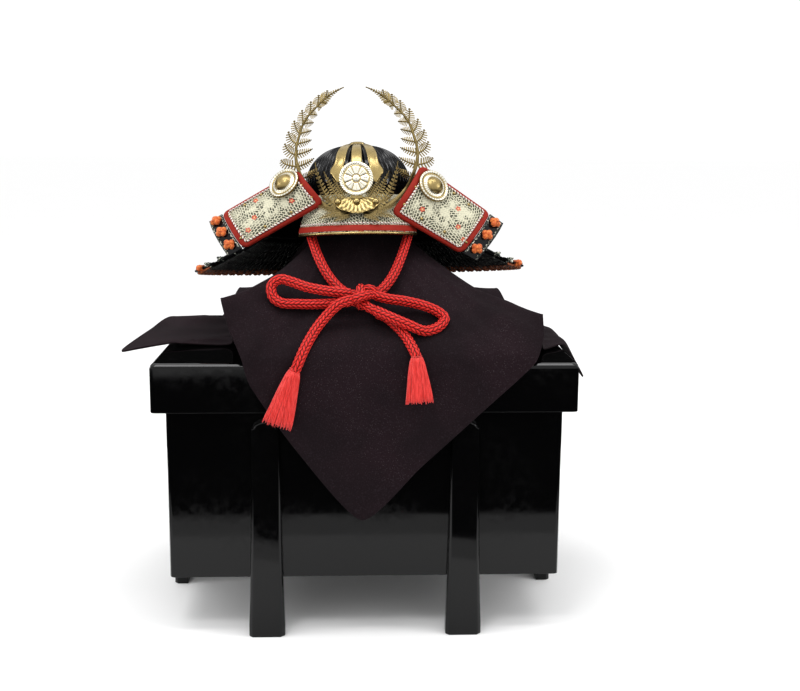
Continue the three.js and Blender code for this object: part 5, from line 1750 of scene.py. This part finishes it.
class HELMET_OT_crest(Operator):
    """Ferns, bracket, rivets and disc."""
    bl_idname = "helmet.crest"
    bl_label = "Crest"

    def execute(self, context):
        settings = context.scene.helmet_head
        gold = brass_gold(settings.gold)
        fern = fern_gold(settings.gold)
        for side in ("left", "right"):
            tall, low = fern_shapes(side)
            helmet_piece(f"tall_fern_{side}", tall, fern, "gold", [f"great_frond_{side}"], sharp=35)
            helmet_piece(f"low_ferns_{side}", low, fern, "gold", [f"small_fronds_{side}"], sharp=35)
        shape, relief = disc_shape()
        helmet_piece("crest_disc_rosette", shape, disc_gold(settings.pale_gold), "pale_gold",
                     ["crest_disc"], sharp=60, relief=relief)
        shape, relief = bracket_shape()
        helmet_piece("crest_bracket_gilt", shape, bracket_gold(settings.gold), "gold", ["crest_bracket"],
                     sharp=45, relief=relief)
        shape = socket_shape()
        helmet_piece("crest_socket", shape, gold, "gold", sharp=45)
        for name, x in (("left", -16.5), ("centre", 0.0), ("right", 16.5)):
            seat = crest_point(np.array(x), np.array(-9.5), BRACKET_BACK + BRACKET_THICK)
            shape = dome(seat, (0, -1, 0.12), 3.1, 3.1, 40)
            helmet_piece(f"rivet_{name}_gilt", shape, gold, "gold", [f"rivet_{name}"], sharp=60)
        return {"FINISHED"}


class HELMET_PT_panel(Panel):
    """Lists the makers of the pieces."""
    bl_label = "Helmet on a Display Chest"
    bl_idname = "HELMET_PT_panel"
    bl_space_type = "VIEW_3D"
    bl_region_type = "UI"
    bl_category = "Helmet"

    def draw(self, context):
        for maker in MAKERS:
            self.layout.operator(maker.bl_idname)


MAKERS = (HELMET_OT_stage, HELMET_OT_cords, HELMET_OT_chest, HELMET_OT_cloth, HELMET_OT_bowl,
          HELMET_OT_guard, HELMET_OT_wings, HELMET_OT_crest)
SETTINGS = {"helmet_stage": StageSettings, "helmet_cord": CordSettings, "helmet_cloth": ClothSettings,
            "helmet_head": HelmetSettings}


def register():
    """Registers the settings, the makers and the panel."""
    for kind in (*SETTINGS.values(), *MAKERS, HELMET_PT_panel):
        bpy.utils.register_class(kind)
    for name, kind in SETTINGS.items():
        setattr(bpy.types.Scene, name, PointerProperty(type=kind))


def unregister():
    """Takes the settings, the makers and the panel away again."""
    for name in SETTINGS:
        delattr(bpy.types.Scene, name)
    for kind in (HELMET_PT_panel, *reversed(MAKERS), *reversed(SETTINGS.values())):
        bpy.utils.unregister_class(kind)


def main():
    """Registers the add-on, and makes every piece."""
    register()
    bpy.ops.helmet.stage()
    bpy.ops.helmet.cords()
    bpy.ops.helmet.chest()
    bpy.ops.helmet.cloth()
    bpy.ops.helmet.bowl()
    bpy.ops.helmet.guard()
    bpy.ops.helmet.wings()
    bpy.ops.helmet.crest()


if __name__ == "__main__":
    main()
